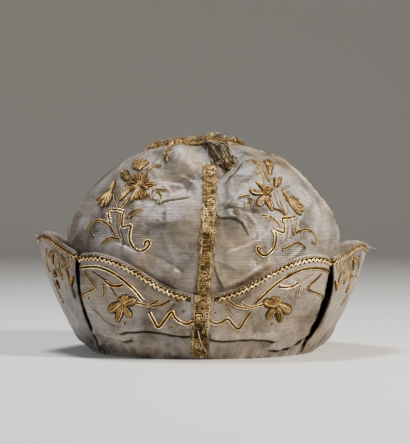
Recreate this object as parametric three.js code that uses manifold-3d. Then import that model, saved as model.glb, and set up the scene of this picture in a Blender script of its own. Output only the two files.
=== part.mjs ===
// A soft embroidered cap of the eighteenth century: a domed crown of four silk quarters, a scalloped
// turned-up brim in two halves, metal lace over the seams, braid along the brim and a worn tassel on top.
// Millimetres, +Z up, front towards -Y, origin on the table under the middle of the cap.
import * as THREE from "three";
import Module from "manifold-3d";
import { mergeVertices } from "three/addons/utils/BufferGeometryUtils.js";

// Driving sizes of the cloth.
const CLOTH = 2; // silk, interlining and lining, sewn together as one wall
const GAP = 0.3; // clearance between neighbouring pieces
const UP = new THREE.Vector3(0, 0, 1);

// The crown: half of its width from side to side at each height, from the hem to the small hole on top.
const CROWN_PROFILE = [
  { height: 2.3, halfWidth: 96 },
  { height: 20, halfWidth: 104 },
  { height: 45, halfWidth: 112.5 },
  { height: 70, halfWidth: 118 },
  { height: 92, halfWidth: 120.3 },
  { height: 111, halfWidth: 119 },
  { height: 132, halfWidth: 107 },
  { height: 154, halfWidth: 88.5 },
  { height: 170, halfWidth: 67.5 },
  { height: 179.5, halfWidth: 38 },
  { height: 182, halfWidth: 3 },
];
const CROWN_TOP = CROWN_PROFILE.at(-1).height;
const DEPTH_RATIO_HEM = 0.86; // depth from front to back, as a share of the width
const DEPTH_RATIO_TOP = 0.8;
const SEAM_LEAN_DEG = 3.6; // the seams wind round the crown by this much in each LEAN_RUN of height
const LEAN_RUN = 100;
const LEAN_LEVEL = 53;
const PUFF = 2; // each quarter swells this far between its seams
const PUFF_START = 15;
const PUFF_FULL = 70;
const FRONT_GRID = { across: 17, up: 21 };
const BACK_GRID = { across: 12, up: 14 };
const SIDE_GRIDS = [FRONT_GRID, BACK_GRID];

// Dents and ridges of the soft crown. Azimuth is in degrees from the front seam, to the right as seen from
// the front. Each runs from one place to another, fades over its width, and lifts the cloth or sinks it.
const CROWN_FOLDS = [
  { what: "puff by the seam", azimuth: -22, height: 172, toAzimuth: -15, toHeight: 165, width: 22, lift: 7 },
  { what: "tassel pocket", azimuth: 14, height: 170, toAzimuth: 16, toHeight: 160, width: 22, lift: -7 },
  { what: "pleat below it", azimuth: 28, height: 162, toAzimuth: 13, toHeight: 143, width: 19, lift: 5 },
  { what: "hollow at left", azimuth: -27, height: 149, toAzimuth: -14, toHeight: 146, width: 20, lift: -5 },
  { what: "crease at left", azimuth: -26, height: 132, toAzimuth: -9, toHeight: 137, width: 17, lift: -3 },
  { what: "crook at right", azimuth: 9, height: 129, toAzimuth: 12, toHeight: 113, width: 17, lift: 3.5 },
  { what: "tail of the crook", azimuth: 12, height: 113, toAzimuth: 18, toHeight: 99, width: 17, lift: 3 },
  { what: "swell at left", azimuth: -48, height: 93, toAzimuth: -14, toHeight: 66, width: 17, lift: 3 },
  { what: "swell at right", azimuth: 10, height: 84, toAzimuth: 17, toHeight: 74, width: 16, lift: 2 },
  { what: "shoulder ridge", azimuth: 47, height: 161, toAzimuth: 63, toHeight: 116, width: 20, lift: 4 },
  { what: "right back sag", azimuth: 154, height: 158, toAzimuth: 138, toHeight: 122, width: 26, lift: -6 },
  { what: "left back swell", azimuth: 204, height: 168, toAzimuth: 216, toHeight: 152, width: 24, lift: 6 },
  { what: "left back sag", azimuth: 232, height: 136, toAzimuth: 208, toHeight: 108, width: 26, lift: -5 },
];
const SEAM_HOLD = 9; // the lace pins the cloth flat this far from a seam
const SEAM_FREE = 20;

// The brim, from the front seam to the side. Height of its scalloped edge, distance that the edge stands
// off the crown, and how far the wall bellies out halfway up. The fold row is the deep valley in the wall.
const BRIM_SECTIONS = [
  { what: "dip at the seam", azimuth: 0, edge: 53.5, standOff: 3, belly: 4 },
  { what: "rise", azimuth: 14, edge: 62, standOff: 4.5, belly: 5 },
  { what: "slope", azimuth: 30, edge: 81, standOff: 8, belly: 6 },
  { what: "shoulder", azimuth: 42, edge: 89, standOff: 11, belly: 6 },
  { what: "lip of the fold", azimuth: 51, edge: 88.5, standOff: 12, belly: 5 },
  { what: "fold", azimuth: 58, edge: 86, standOff: 3, belly: 0 },
  { what: "root of the wing", azimuth: 63.5, edge: 92.5, standOff: 9, belly: 1 },
  { what: "wing", azimuth: 72, edge: 102, standOff: 13.5, belly: 1 },
  { what: "crest of the wing", azimuth: 82, edge: 105, standOff: 20, belly: 1 },
  { what: "side", azimuth: 90, edge: 102, standOff: 24.5, belly: 0 },
];
const BRIM_COLUMN_DEG = 5.2;
const RIGHT_DROP = 9; // the edge hangs lower on the right side by this much
const RIGHT_DROP_START_DEG = 30;

// Slanting folds low on the brim, between the deep folds and the front and back seams.
const BRIM_FOLDS = [
  { what: "left of the front", azimuth: -58, height: 46, toAzimuth: -30, toHeight: 9, width: 13, lift: 3.5 },
  { what: "right of the front", azimuth: 57, height: 30, toAzimuth: 28, toHeight: 9, width: 12, lift: 3 },
  { what: "left of the back", azimuth: 236, height: 38, toAzimuth: 208, toHeight: 9, width: 13, lift: 3 },
  { what: "right of the back", azimuth: 124, height: 44, toAzimuth: 152, toHeight: 9, width: 13, lift: 3.5 },
];
const HEM_STAND_OFF = 1;
const FOOT = 8; // the brim turns under the crown by this much, and the cap stands on it
const ROLL_HEIGHT = 12; // the turn-up rounds out over this height
const ROLL_SHARE = 0.3; // and takes this share of the whole stand-off there
const ROLL_TILT = Math.PI / 4;
const BAND = 24; // below this height the rows of the wall are level, above it they follow the edge
// The level crease along the front and the back, which fades out towards the deep folds.
const CREASE = { height: 18, width: 7, depth: 3, fadeDeg: 34, endDeg: 50 };
const FOOT_ROW = -1; // rows of the wall: the foot, 0 to 1 up the band, 1 to 2 up to the edge
const BRIM_ROWS = [FOOT_ROW, 0, 0.12, 0.33, 0.54, 0.75, 1, 1.25, 1.5, 1.75, 2];

// The trimmings.
const LACE = 1; // thickness of the lace and the braid
const CROWN_LACE_WIDTH = 12;
const BRIM_LACE_WIDTH = 15;
const SEAM_LACE_FOOT = 40; // the crown's lace starts this high, behind the brim
const SIDE_LACE_FOOT = 60;
const BRIM_LACE_ROWS = BRIM_ROWS.filter((row) => row > 0);
const BRAID_DROP = 2; // silk left bare above the braid
const BRAID_WIDTH = 4;
const TOP_LACE = { left: -50, right: 36, halfWidth: 7, steps: 16 };
// Its loops stand up in a heap, highest in the middle and lower towards its two long edges.
const TOP_LACE_HEAP = [
  { x: -50, rise: 4 },
  { x: -20, rise: 6 },
  { x: 4, rise: 8 },
  { x: 25, rise: 5 },
  { x: 36, rise: 1.2 },
];
const HEAP_EDGE_DROP = 0.45;
const TAIL = { fromX: -20, fromY: -7.5, toX: -31, toY: -57, width: 5, steps: 8, lift: 1.3 };
const TASSEL = { x: 3, y: -18, headRadius: 5.5, locks: 8, lockRadius: 1.8, sides: 6, steps: 4, lift: 3.8 };
const TASSEL_FAN = { fromX: 8, fromY: -62, toX: 31, toY: -42 }; // where the first and the last lock end

const SILK = new THREE.MeshStandardMaterial({ color: 0xa39a8e, roughness: 0.55, metalness: 0 });
const GOLD_LACE = new THREE.MeshStandardMaterial({ color: 0xa77f3c, roughness: 0.45, metalness: 0.7 });
const BRIGHT_GOLD = new THREE.MeshStandardMaterial({ color: 0xd0a24a, roughness: 0.3, metalness: 0.85 });
const TARNISHED = new THREE.MeshStandardMaterial({ color: 0x54483a, roughness: 0.55, metalness: 0.5 });

const radians = THREE.MathUtils.degToRad;
const smooth = THREE.MathUtils.smoothstep;

function evenly(from, to, steps) {
  return Array.from({ length: steps + 1 }, (_, i) => THREE.MathUtils.lerp(from, to, i / steps));
}

// A smooth reading of one column of a table, at a value of its key column.
function readTable(rows, key, at, column) {
  const last = rows.length - 1;
  let i = rows.findIndex((row, n) => n === last - 1 || at < rows[n + 1][key]);
  i = Math.max(i, 0);
  const slope = (n) => {
    const [a, b] = [rows[Math.max(n - 1, 0)], rows[Math.min(n + 1, last)]];
    return (b[column] - a[column]) / (b[key] - a[key]);
  };
  const span = rows[i + 1][key] - rows[i][key];
  const t = THREE.MathUtils.clamp((at - rows[i][key]) / span, 0, 1);
  const ease = t * t * (3 - 2 * t);
  const start = t * (1 - t) * (1 - t) * span;
  const end = t * t * (t - 1) * span;
  const blend = THREE.MathUtils.lerp(rows[i][column], rows[i + 1][column], ease);
  return blend + start * slope(i) + end * slope(i + 1);
}

// A closed wall: a box divided into columns and rows, whose two broad faces are bent to where place says.
function bentWall(columns, rows, place) {
  const geometry = new THREE.BoxGeometry(1, 1, 1, columns.length - 1, rows.length - 1, 1);
  const position = geometry.getAttribute("position");
  for (let i = 0; i < position.count; i++) {
    const column = columns[Math.round((position.getX(i) + 0.5) * (columns.length - 1))];
    const row = rows[Math.round((position.getY(i) + 0.5) * (rows.length - 1))];
    const { x, y, z } = place(column, row, position.getZ(i) > 0);
    position.setXYZ(i, x, y, z);
  }
  geometry.computeVertexNormals();
  return geometry;
}

// The crown's outer skin without its folds.
const profile = new THREE.CatmullRomCurve3(
  CROWN_PROFILE.map((row) => new THREE.Vector3(row.halfWidth, 0, row.height)),
  false,
  "centripetal",
);
profile.arcLengthDivisions = 400;

// How far along the profile a measure of it, which grows or shrinks all the way, reaches a value.
function runWhere(measure, value, from = 0, to = 1) {
  const grows = measure(to) > measure(from);
  for (let i = 0; i < 40; i++) {
    const middle = (from + to) / 2;
    if (measure(middle) < value === grows) from = middle;
    else to = middle;
  }
  return (from + to) / 2;
}

const heightAt = (run) => profile.getPointAt(run).z;
const halfWidthAt = (run) => profile.getPointAt(run).x;
const runAtHeight = (height) => runWhere(heightAt, height);
const WIDEST_RUN = runAtHeight(92);
const depthRatio = (height) => THREE.MathUtils.lerp(DEPTH_RATIO_HEM, DEPTH_RATIO_TOP, height / CROWN_TOP);
const seamLean = (height) => (radians(SEAM_LEAN_DEG) * (height - LEAN_LEVEL)) / LEAN_RUN;

// Point and outward normal of the smooth crown, with the level part of that normal by itself.
function smoothCrown(azimuth, run) {
  const { x: halfWidth, z: height } = profile.getPointAt(run);
  const slope = profile.getTangentAt(run);
  const depth = halfWidth * depthRatio(height);
  const angle = azimuth + seamLean(height);
  const point = new THREE.Vector3(halfWidth * Math.sin(angle), -depth * Math.cos(angle), height);
  const level = new THREE.Vector3(Math.sin(angle) / halfWidth, -Math.cos(angle) / depth, 0).normalize();
  const normal = level.clone().multiplyScalar(slope.z).addScaledVector(UP, -slope.x).normalize();
  return { point, level, normal, halfWidth };
}

// Each row of a table of folds as two straight lines along the smooth crown.
function foldLines(folds) {
  return folds.map((fold) => {
    const at = (share) => {
      const azimuth = radians(THREE.MathUtils.lerp(fold.azimuth, fold.toAzimuth, share));
      const height = THREE.MathUtils.lerp(fold.height, fold.toHeight, share);
      return smoothCrown(azimuth, runAtHeight(height)).point;
    };
    return { ...fold, lines: [new THREE.Line3(at(0), at(0.5)), new THREE.Line3(at(0.5), at(1))] };
  });
}

// A bump of height 1 that fades to 0 at a share of 1.
const bump = (share) => (share < 1 ? 0.5 + 0.5 * Math.cos(Math.PI * share) : 0);

// How far a table of folds moves the cloth outwards at a point of the smooth crown.
function foldLift(lines, point) {
  const nearest = new THREE.Vector3();
  return lines.reduce((lift, fold) => {
    const distances = fold.lines.map((line) => {
      return line.closestPointToPoint(point, true, nearest).distanceTo(point);
    });
    return lift + fold.lift * bump(Math.min(...distances) / fold.width);
  }, 0);
}

const CROWN_FOLD_LINES = foldLines(CROWN_FOLDS);
const BRIM_FOLD_LINES = foldLines(BRIM_FOLDS);

// The crown's cloth at a place, lifted off its skin along the normal.
function crownSkin(azimuth, run, lift = 0) {
  const { point, normal, halfWidth } = smoothCrown(azimuth, run);
  const fromSeams = Math.abs(Math.sin(2 * azimuth));
  const puff = PUFF * fromSeams * smooth(point.z, PUFF_START, PUFF_FULL);
  const freedom = smooth((fromSeams * halfWidth) / 2, SEAM_HOLD, SEAM_FREE);
  return point.addScaledVector(normal, (foldLift(CROWN_FOLD_LINES, point) + puff) * freedom + lift);
}

// The same over a point of the plan, for the pieces that lie on top.
function crownOver(x, y, lift) {
  let run = 1;
  let azimuth = 0;
  for (let i = 0; i < 4; i++) {
    const height = heightAt(run);
    const across = -y / depthRatio(height);
    const reach = Math.max(Math.hypot(x, across), CROWN_PROFILE.at(-1).halfWidth);
    run = runWhere(halfWidthAt, reach, WIDEST_RUN, 1);
    azimuth = Math.atan2(x, across) - seamLean(heightAt(run));
  }
  return crownSkin(azimuth, run, lift);
}

function crownQuarter(startDeg, { across, up }) {
  const place = (share, run, outside) => {
    const inset = Math.asin(GAP / 2 / halfWidthAt(run));
    const azimuth = radians(startDeg) + THREE.MathUtils.lerp(inset, Math.PI / 2 - inset, share);
    return crownSkin(azimuth, run, outside ? 0 : -CLOTH);
  };
  return bentWall(evenly(0, 1, across), evenly(0, 1, up), place);
}

// The brim's section at any azimuth, by the symmetry of its four quarters.
function brimSection(azimuthDeg) {
  const rightwards = THREE.MathUtils.radToDeg(Math.asin(Math.sin(radians(azimuthDeg))));
  const turned = Math.abs(rightwards);
  const read = (column) => readTable(BRIM_SECTIONS, "azimuth", turned, column);
  const edge = read("edge") - RIGHT_DROP * smooth(rightwards, RIGHT_DROP_START_DEG, 90);
  return { turned, edge, standOff: read("standOff"), belly: read("belly") };
}

// A point of the brim's outer face at a height, and the level direction away from the crown there.
function brimFace(azimuthDeg, height) {
  const { turned, edge, standOff, belly } = brimSection(azimuthDeg);
  const share = height / edge;
  const rise = ROLL_SHARE * smooth(height, 0, ROLL_HEIGHT) + (1 - ROLL_SHARE) * share;
  const { point, level } = smoothCrown(radians(azimuthDeg), runAtHeight(height));
  const creaseDepth = CREASE.depth * (1 - smooth(turned, CREASE.fadeDeg, CREASE.endDeg));
  const creased = creaseDepth * bump(Math.abs(height - CREASE.height) / CREASE.width);
  const folded = foldLift(BRIM_FOLD_LINES, point) - creased;
  const upright = HEM_STAND_OFF + (standOff - HEM_STAND_OFF) * rise;
  const clear = upright + belly * Math.sin(Math.PI * share) + folded;
  point.addScaledVector(level, Math.max(clear, HEM_STAND_OFF) + CLOTH).setZ(height);
  return { point, level };
}

function brimHeight(azimuthDeg, row) {
  const { edge } = brimSection(azimuthDeg);
  return row <= 1 ? row * BAND : THREE.MathUtils.lerp(BAND, edge, row - 1);
}

function brimColumns(fromDeg) {
  const azimuths = BRIM_SECTIONS.map((row) => row.azimuth);
  const quarter = azimuths.slice(1).flatMap((to, i) => {
    const from = azimuths[i];
    return evenly(from, to, Math.ceil((to - from) / BRIM_COLUMN_DEG)).slice(1);
  });
  const half = [0, ...quarter, ...quarter.slice(0, -1).reverse().map((deg) => 180 - deg), 180];
  return half.map((deg) => fromDeg + deg);
}

// One half of the brim, from seam to seam, with the foot that turns under the crown.
function brimHalf(fromDeg) {
  const columns = brimColumns(fromDeg);
  const place = (deg, row, outside) => {
    const seamInset = THREE.MathUtils.radToDeg(GAP / 2 / CROWN_PROFILE[0].halfWidth);
    const inset = deg === columns[0] ? seamInset : deg === columns.at(-1) ? -seamInset : 0;
    if (row === FOOT_ROW) {
      const { point, level } = brimFace(deg + inset, 0);
      return point.addScaledVector(level, -FOOT).setZ(outside ? 0 : CLOTH);
    }
    const height = brimHeight(deg, row);
    const { point, level } = brimFace(deg + inset, height);
    if (outside) return point;
    const tilt = ROLL_TILT * Math.max(1 - height / ROLL_HEIGHT, 0);
    point.addScaledVector(level, -CLOTH * Math.cos(tilt));
    return point.addScaledVector(UP, CLOTH * Math.sin(tilt));
  };
  return bentWall(columns, BRIM_ROWS, place);
}

// Lace down one seam of the crown, from the top lace to behind the brim. It has the rows of the quarters
// that it covers, so that it bends where they do.
function seamLace(seamDeg, footHeight, topHalfWidth, grids) {
  const footRun = runAtHeight(footHeight);
  const topRun = runWhere(halfWidthAt, topHalfWidth, WIDEST_RUN, 1);
  const inner = grids.flatMap(({ up }) => evenly(0, 1, up)).filter((run) => run > footRun && run < topRun);
  const rows = [...new Set([footRun, ...inner, topRun])].sort((a, b) => a - b);
  const half = CROWN_LACE_WIDTH / 2;
  const place = (offset, run, outside) => {
    const azimuth = radians(seamDeg) + offset / halfWidthAt(run);
    return crownSkin(azimuth, run, GAP + (outside ? LACE : 0));
  };
  return bentWall([-half, 0, half], rows, place);
}

// The turn in azimuth that makes a small step sideways on the front or the back of the brim.
function sidewaysDeg(step, height) {
  return THREE.MathUtils.radToDeg(step / (halfWidthAt(runAtHeight(height)) + CLOTH));
}

// Lace over a seam of the brim, from its hem to its edge.
function brimLace(seamDeg) {
  const half = BRIM_LACE_WIDTH / 2;
  const place = (offset, row, outside) => {
    const height = brimHeight(seamDeg, row);
    const { point, level } = brimFace(seamDeg + sidewaysDeg(offset, height), height);
    return point.addScaledVector(level, GAP + (outside ? LACE : 0));
  };
  return bentWall(evenly(-half, half, 4), BRIM_LACE_ROWS, place);
}

// Braid along the scalloped edge of one half of the brim, between its two laced seams.
function edgeBraid(fromDeg) {
  const start = sidewaysDeg(BRIM_LACE_WIDTH / 2 + 2 * GAP, BRIM_SECTIONS[0].edge);
  const inner = brimColumns(0).filter((deg) => deg > start + 1 && deg < 179 - start);
  const columns = [start, ...inner, 180 - start].map((deg) => fromDeg + deg);
  const place = (deg, drop, outside) => {
    const { edge } = brimSection(deg);
    const face = brimFace(deg, edge - drop);
    return face.point.addScaledVector(face.level, GAP + (outside ? LACE : 0));
  };
  return bentWall(columns, [BRAID_DROP + BRAID_WIDTH, BRAID_DROP], place);
}

// Lace across the top, from the left side seam to the right one.
function topLace() {
  const { left, right, halfWidth, steps } = TOP_LACE;
  const heap = (x, y) => readTable(TOP_LACE_HEAP, "x", x, "rise") * (1 - HEAP_EDGE_DROP * (y / halfWidth) ** 2);
  const place = (x, y, outside) => crownOver(x, y, GAP + (outside ? heap(x, y) : 0));
  return bentWall(evenly(left, right, steps), [-halfWidth, 0, halfWidth], place);
}

// The loose end of the lace that hangs from the top, left of the front seam.
function laceTail() {
  const { fromX, fromY, toX, toY, width, steps, lift } = TAIL;
  const along = new THREE.Vector2(toX - fromX, toY - fromY).normalize();
  const place = (offset, share, outside) => {
    const x = THREE.MathUtils.lerp(toX, fromX, share) - along.y * offset;
    const y = THREE.MathUtils.lerp(toY, fromY, share) + along.x * offset;
    return crownOver(x, y, lift + (outside ? LACE : 0));
  };
  return bentWall([-width / 2, width / 2], evenly(0, 1, steps), place);
}

const wasm = await Module();
wasm.setup();

function toSolid(geometry) {
  const bare = new THREE.BufferGeometry().setAttribute("position", geometry.getAttribute("position"));
  const merged = mergeVertices(geometry.index ? bare.setIndex(geometry.index) : bare, 1e-3);
  return new wasm.Manifold(
    new wasm.Mesh({
      numProp: 3,
      vertProperties: merged.getAttribute("position").array,
      triVerts: new Uint32Array(merged.index.array),
    }),
  );
}

function fromSolid(solid) {
  const { vertProperties, triVerts } = solid.getMesh();
  const geometry = new THREE.BufferGeometry();
  geometry.setAttribute("position", new THREE.BufferAttribute(vertProperties, 3));
  geometry.setIndex(new THREE.BufferAttribute(triVerts, 1));
  geometry.computeVertexNormals();
  return geometry;
}

// The worn tassel: a knot on the front lace and locks of thread that fan out into the pocket.
function tassel() {
  const { x, y, headRadius, locks, lockRadius, sides, steps, lift } = TASSEL;
  const centre = crownOver(x, y, GAP + LACE + GAP + headRadius / 2);
  const head = new THREE.SphereGeometry(headRadius, 12, 8).scale(1, 1, 0.5);
  head.translate(centre.x, centre.y, centre.z);
  const section = new THREE.Shape(
    Array.from({ length: sides }, (_, i) => {
      const angle = (2 * Math.PI * i) / sides;
      return new THREE.Vector2(lockRadius * Math.cos(angle), lockRadius * Math.sin(angle));
    }),
  );
  let solid = toSolid(head);
  for (const share of evenly(0, 1, locks - 1)) {
    const endX = THREE.MathUtils.lerp(TASSEL_FAN.fromX, TASSEL_FAN.toX, share);
    const endY = THREE.MathUtils.lerp(TASSEL_FAN.fromY, TASSEL_FAN.toY, share);
    const points = evenly(0, 1, 3).map((t) => {
      return crownOver(THREE.MathUtils.lerp(x, endX, t), THREE.MathUtils.lerp(y, endY, t), lift);
    });
    const extrudePath = new THREE.CatmullRomCurve3(points);
    const lock = new THREE.ExtrudeGeometry(section, { steps, extrudePath, bevelEnabled: false });
    solid = solid.add(toSolid(lock));
  }
  return fromSolid(solid);
}

function piece(name, geometry, material) {
  const mesh = new THREE.Mesh(geometry, material);
  mesh.name = name;
  return mesh;
}

const crown = new THREE.Group();
crown.add(piece("crown_front_right", crownQuarter(0, FRONT_GRID), SILK));
crown.add(piece("crown_back_right", crownQuarter(90, BACK_GRID), SILK));
crown.add(piece("crown_back_left", crownQuarter(180, BACK_GRID), SILK));
crown.add(piece("crown_front_left", crownQuarter(270, FRONT_GRID), SILK));

const brim = new THREE.Group();
brim.add(piece("brim_right", brimHalf(0), SILK));
brim.add(piece("brim_left", brimHalf(180), SILK));

const lace = new THREE.Group();
const besideTopLace = Math.hypot((TOP_LACE.halfWidth + 2 * GAP) / DEPTH_RATIO_TOP, CROWN_LACE_WIDTH / 2);
const frontLace = seamLace(0, SEAM_LACE_FOOT, besideTopLace, [FRONT_GRID]);
const backLace = seamLace(180, SEAM_LACE_FOOT, besideTopLace, [BACK_GRID]);
const rightLace = seamLace(90, SIDE_LACE_FOOT, TOP_LACE.right + 2, SIDE_GRIDS);
const leftLace = seamLace(270, SIDE_LACE_FOOT, 2 - TOP_LACE.left, SIDE_GRIDS);
lace.add(piece("lace_crown_front", frontLace, GOLD_LACE));
lace.add(piece("lace_crown_back", backLace, GOLD_LACE));
lace.add(piece("lace_crown_right", rightLace, GOLD_LACE));
lace.add(piece("lace_crown_left", leftLace, GOLD_LACE));
lace.add(piece("lace_crown_top", topLace(), GOLD_LACE));
lace.add(piece("lace_tail", laceTail(), GOLD_LACE));
lace.add(piece("lace_brim_front", brimLace(0), GOLD_LACE));
lace.add(piece("lace_brim_back", brimLace(180), GOLD_LACE));

const trim = new THREE.Group();
trim.add(piece("braid_right", edgeBraid(0), BRIGHT_GOLD));
trim.add(piece("braid_left", edgeBraid(180), BRIGHT_GOLD));
trim.add(piece("tassel", tassel(), TARNISHED));

const cap = new THREE.Group();
cap.add(crown, brim, lace, trim);

export default cap;
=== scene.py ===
# %% [markdown]
# # An embroidered silk cap
#
# This lesson dresses a soft indoor cap of the eighteenth century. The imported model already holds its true
# size and its main shapes: four quarters of the crown, two halves of a turned-up brim, lace, braid and a
# tassel. Here each of them is modelled again as what it is, creased silk and metal thread, in the same
# frame.

# %% The fixed frame
import math
import random

import bmesh
import bpy
import numpy as np
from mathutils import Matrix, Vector, noise
from mathutils.bvhtree import BVHTree


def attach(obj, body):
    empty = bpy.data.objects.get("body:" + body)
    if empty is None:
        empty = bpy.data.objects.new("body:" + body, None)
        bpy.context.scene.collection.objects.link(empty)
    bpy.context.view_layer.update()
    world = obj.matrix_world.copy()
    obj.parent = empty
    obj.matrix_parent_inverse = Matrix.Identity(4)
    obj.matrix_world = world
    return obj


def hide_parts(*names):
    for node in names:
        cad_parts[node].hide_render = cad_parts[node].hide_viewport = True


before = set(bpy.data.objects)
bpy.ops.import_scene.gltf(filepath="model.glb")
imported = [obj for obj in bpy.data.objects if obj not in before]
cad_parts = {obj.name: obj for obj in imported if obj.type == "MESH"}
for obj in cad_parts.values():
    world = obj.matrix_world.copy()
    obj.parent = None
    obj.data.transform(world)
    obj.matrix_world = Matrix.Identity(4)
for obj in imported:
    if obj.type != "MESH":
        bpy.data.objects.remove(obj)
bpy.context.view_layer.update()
MM = 0.001  # sizes below are in millimetres, as on a sewing pattern
print("pieces in the frame:", len(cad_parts))

# %% [markdown]
# ## The camera
#
# The camera stands as far away as a photographer with a long lens, a little above the table. It is made
# first because the folds and the embroidery were measured on the photograph: with the camera known, a pixel
# becomes a ray, and the ray finds its place on the cloth.

# %% The camera and its rays
PHOTO_WIDE, PHOTO_TALL = 410, 444
CAMERA_DISTANCE = 1400
CAMERA_RISE = math.radians(5.5)
AIM = Vector((1.8, 0, 114))
FOCAL_PIXELS = 1563
SENSOR = 36


def new_object(name, data):
    """A new object in the scene, from a camera, a light or a mesh."""
    made = bpy.data.objects.new(name, data)
    bpy.context.scene.collection.objects.link(made)
    return made


camera_at = CAMERA_DISTANCE * Vector((0, -math.cos(CAMERA_RISE), math.sin(CAMERA_RISE)))
camera_turn = (AIM - camera_at).to_track_quat("-Z", "Y")
camera = new_object("camera", bpy.data.cameras.new("camera"))
camera.data.sensor_width = SENSOR
camera.data.lens = FOCAL_PIXELS * SENSOR / PHOTO_TALL
camera.location = camera_at * MM
camera.rotation_mode = "QUATERNION"
camera.rotation_quaternion = camera_turn
bpy.context.scene.camera = camera


def ray_through(pixel):
    """The direction from the camera through a pixel of the photograph."""
    across, down = pixel
    along = Vector((across - PHOTO_WIDE / 2, PHOTO_TALL / 2 - down, -FOCAL_PIXELS))
    return (camera_turn @ along).normalized()


print(f"lens {camera.data.lens:.0f} mm")

# %% [markdown]
# ## The table and the light
#
# A pale table keeps the picture plain. It bends up into a wall far away on every side, so no horizon shows
# and the cap can be looked at from all round: the section of that bowl is drawn once and spun. Soft lights
# stand at the sides, because light that grazes the cloth shows its ribs and creases. The right one is the
# warmer and the stronger.

# %% The table
TABLE = {"flat": 2400, "bend": 1500, "wall": 1500, "bend_points": 13, "spin_steps": 64, "roughness": 0.6}
SAME_SPOT = 0.1  # corners nearer to each other than this become one
PALE = (0.68, 0.67, 0.65)


def new_material(name):
    """A material, its node tree and its shader."""
    made = bpy.data.materials.new(name)
    made.use_nodes = True
    return made, made.node_tree, made.node_tree.nodes["Principled BSDF"]


def plain_material(name, colour, roughness):
    made, _, shader = new_material(name)
    shader.inputs["Base Color"].default_value = (*colour, 1)
    shader.inputs["Roughness"].default_value = roughness
    return made


def smooth_mesh(bm, name, *materials):
    """A smooth mesh from a finished bmesh."""
    for face in bm.faces:
        face.smooth = True
    mesh = bpy.data.meshes.new(name)
    bm.to_mesh(mesh)
    bm.free()
    for material in materials:
        mesh.materials.append(material)
    return mesh


bm = bmesh.new()
section = [(0, 0)]
for bend in np.linspace(0, math.pi / 2, TABLE["bend_points"]):
    section.append((TABLE["flat"] + TABLE["bend"] * math.sin(bend), TABLE["bend"] * (1 - math.cos(bend))))
section.append((section[-1][0], section[-1][1] + TABLE["wall"]))
corners = [bm.verts.new((out * MM, 0, up * MM)) for out, up in section]
lines = [bm.edges.new(pair) for pair in zip(corners[:-1], corners[1:])]
bmesh.ops.spin(bm, geom=corners + lines, cent=(0, 0, 0), axis=(0, 0, 1), angle=2 * math.pi,
               steps=TABLE["spin_steps"], use_merge=True)
bmesh.ops.remove_doubles(bm, verts=bm.verts[:], dist=SAME_SPOT * MM)
table_mesh = smooth_mesh(bm, "table", plain_material("pale table", PALE, TABLE["roughness"]))
new_object("table", table_mesh)
print("table:", len(table_mesh.polygons), "faces")

# %% The lights


def table(columns, rows):
    """Rows with their columns named."""
    return [dict(zip(columns, row)) for row in rows]


SOFT_LIGHTS = table(("name", "at", "size", "power", "colour"), [
    ("left light", (-1200, -700, 650), 260, 6, (0.8, 0.87, 1)),
    ("right light", (1200, -650, 900), 200, 53, (1, 0.925, 0.81)),
    ("top light", (-260, 80, 1350), 260, 22, (0.93, 0.95, 1)),
])
LIT_POINT = Vector((0, 0, 90))
ROOM_GLOW = 0.06

for row in SOFT_LIGHTS:
    light = bpy.data.lights.new(row["name"], "AREA")
    light.size = row["size"] * MM
    light.energy = row["power"]
    light.color = row["colour"]
    lamp = new_object(row["name"], light)
    lamp.location = Vector(row["at"]) * MM
    lamp.rotation_euler = (LIT_POINT - Vector(row["at"])).to_track_quat("-Z", "Y").to_euler()

world = bpy.data.worlds.new("pale room")
world.use_nodes = True
world.node_tree.nodes["Background"].inputs["Color"].default_value = (*PALE, 1)
world.node_tree.nodes["Background"].inputs["Strength"].default_value = ROOM_GLOW
bpy.context.scene.world = world
print("soft lights:", len(SOFT_LIGHTS))

# %% [markdown]
# ## The form of the crown
#
# The crown is a dome, wider than it is deep, drawn up from a table of half widths at rising heights. Its
# four seams wind round it a little, as they do on the soft old cap, and each quarter swells between them.

# %% The crown's table
CROWN_HEIGHTS = [2.3, 20, 45, 70, 92, 111, 132, 154, 170, 179.5, 182]
CROWN_HALF_WIDTHS = [96, 104, 112.5, 118, 120.3, 119, 107, 88.5, 67.5, 38, 1]
DEPTH_RATIO_HEM, DEPTH_RATIO_TOP = 0.86, 0.8
SEAM_LEAN = math.radians(3.6) / 100  # the seams turn by so much for each millimetre of height
LEAN_LEVEL = 53  # the height at which the front seam is right in front
CLOTH = 2  # how thick the wall is
FINE_POINTS = 600


def smooth_read(keys, values, at):
    """A smooth curve through the rows of a table, read at any key."""
    keys, values, at = (np.asarray(row, float) for row in (keys, values, at))
    last = len(keys) - 1
    before = np.r_[0, 0:last]
    after = np.r_[1:last + 1, last]
    slope = (values[after] - values[before]) / (keys[after] - keys[before])
    i = np.clip(np.searchsorted(keys, at, side="right") - 1, 0, last - 1)
    span = keys[i + 1] - keys[i]
    t = np.clip((at - keys[i]) / span, 0, 1)
    bend = t * (1 - t) ** 2 * slope[i] + t * t * (t - 1) * slope[i + 1]
    return values[i] + (values[i + 1] - values[i]) * t * t * (3 - 2 * t) + span * bend


def smooth_step(value, low, high):
    t = np.clip((value - low) / (high - low), 0, 1)
    return t * t * (3 - 2 * t)


def bump(share):
    """A hill of height 1 that fades to 0 at a share of 1."""
    return np.where(share < 1, 0.5 + 0.5 * np.cos(np.pi * np.minimum(share, 1)), 0)


def length_along(points):
    """How far along a line each of its points is."""
    return np.r_[0, np.cumsum(np.hypot.reduce(np.diff(points, axis=0), axis=1))]


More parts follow.
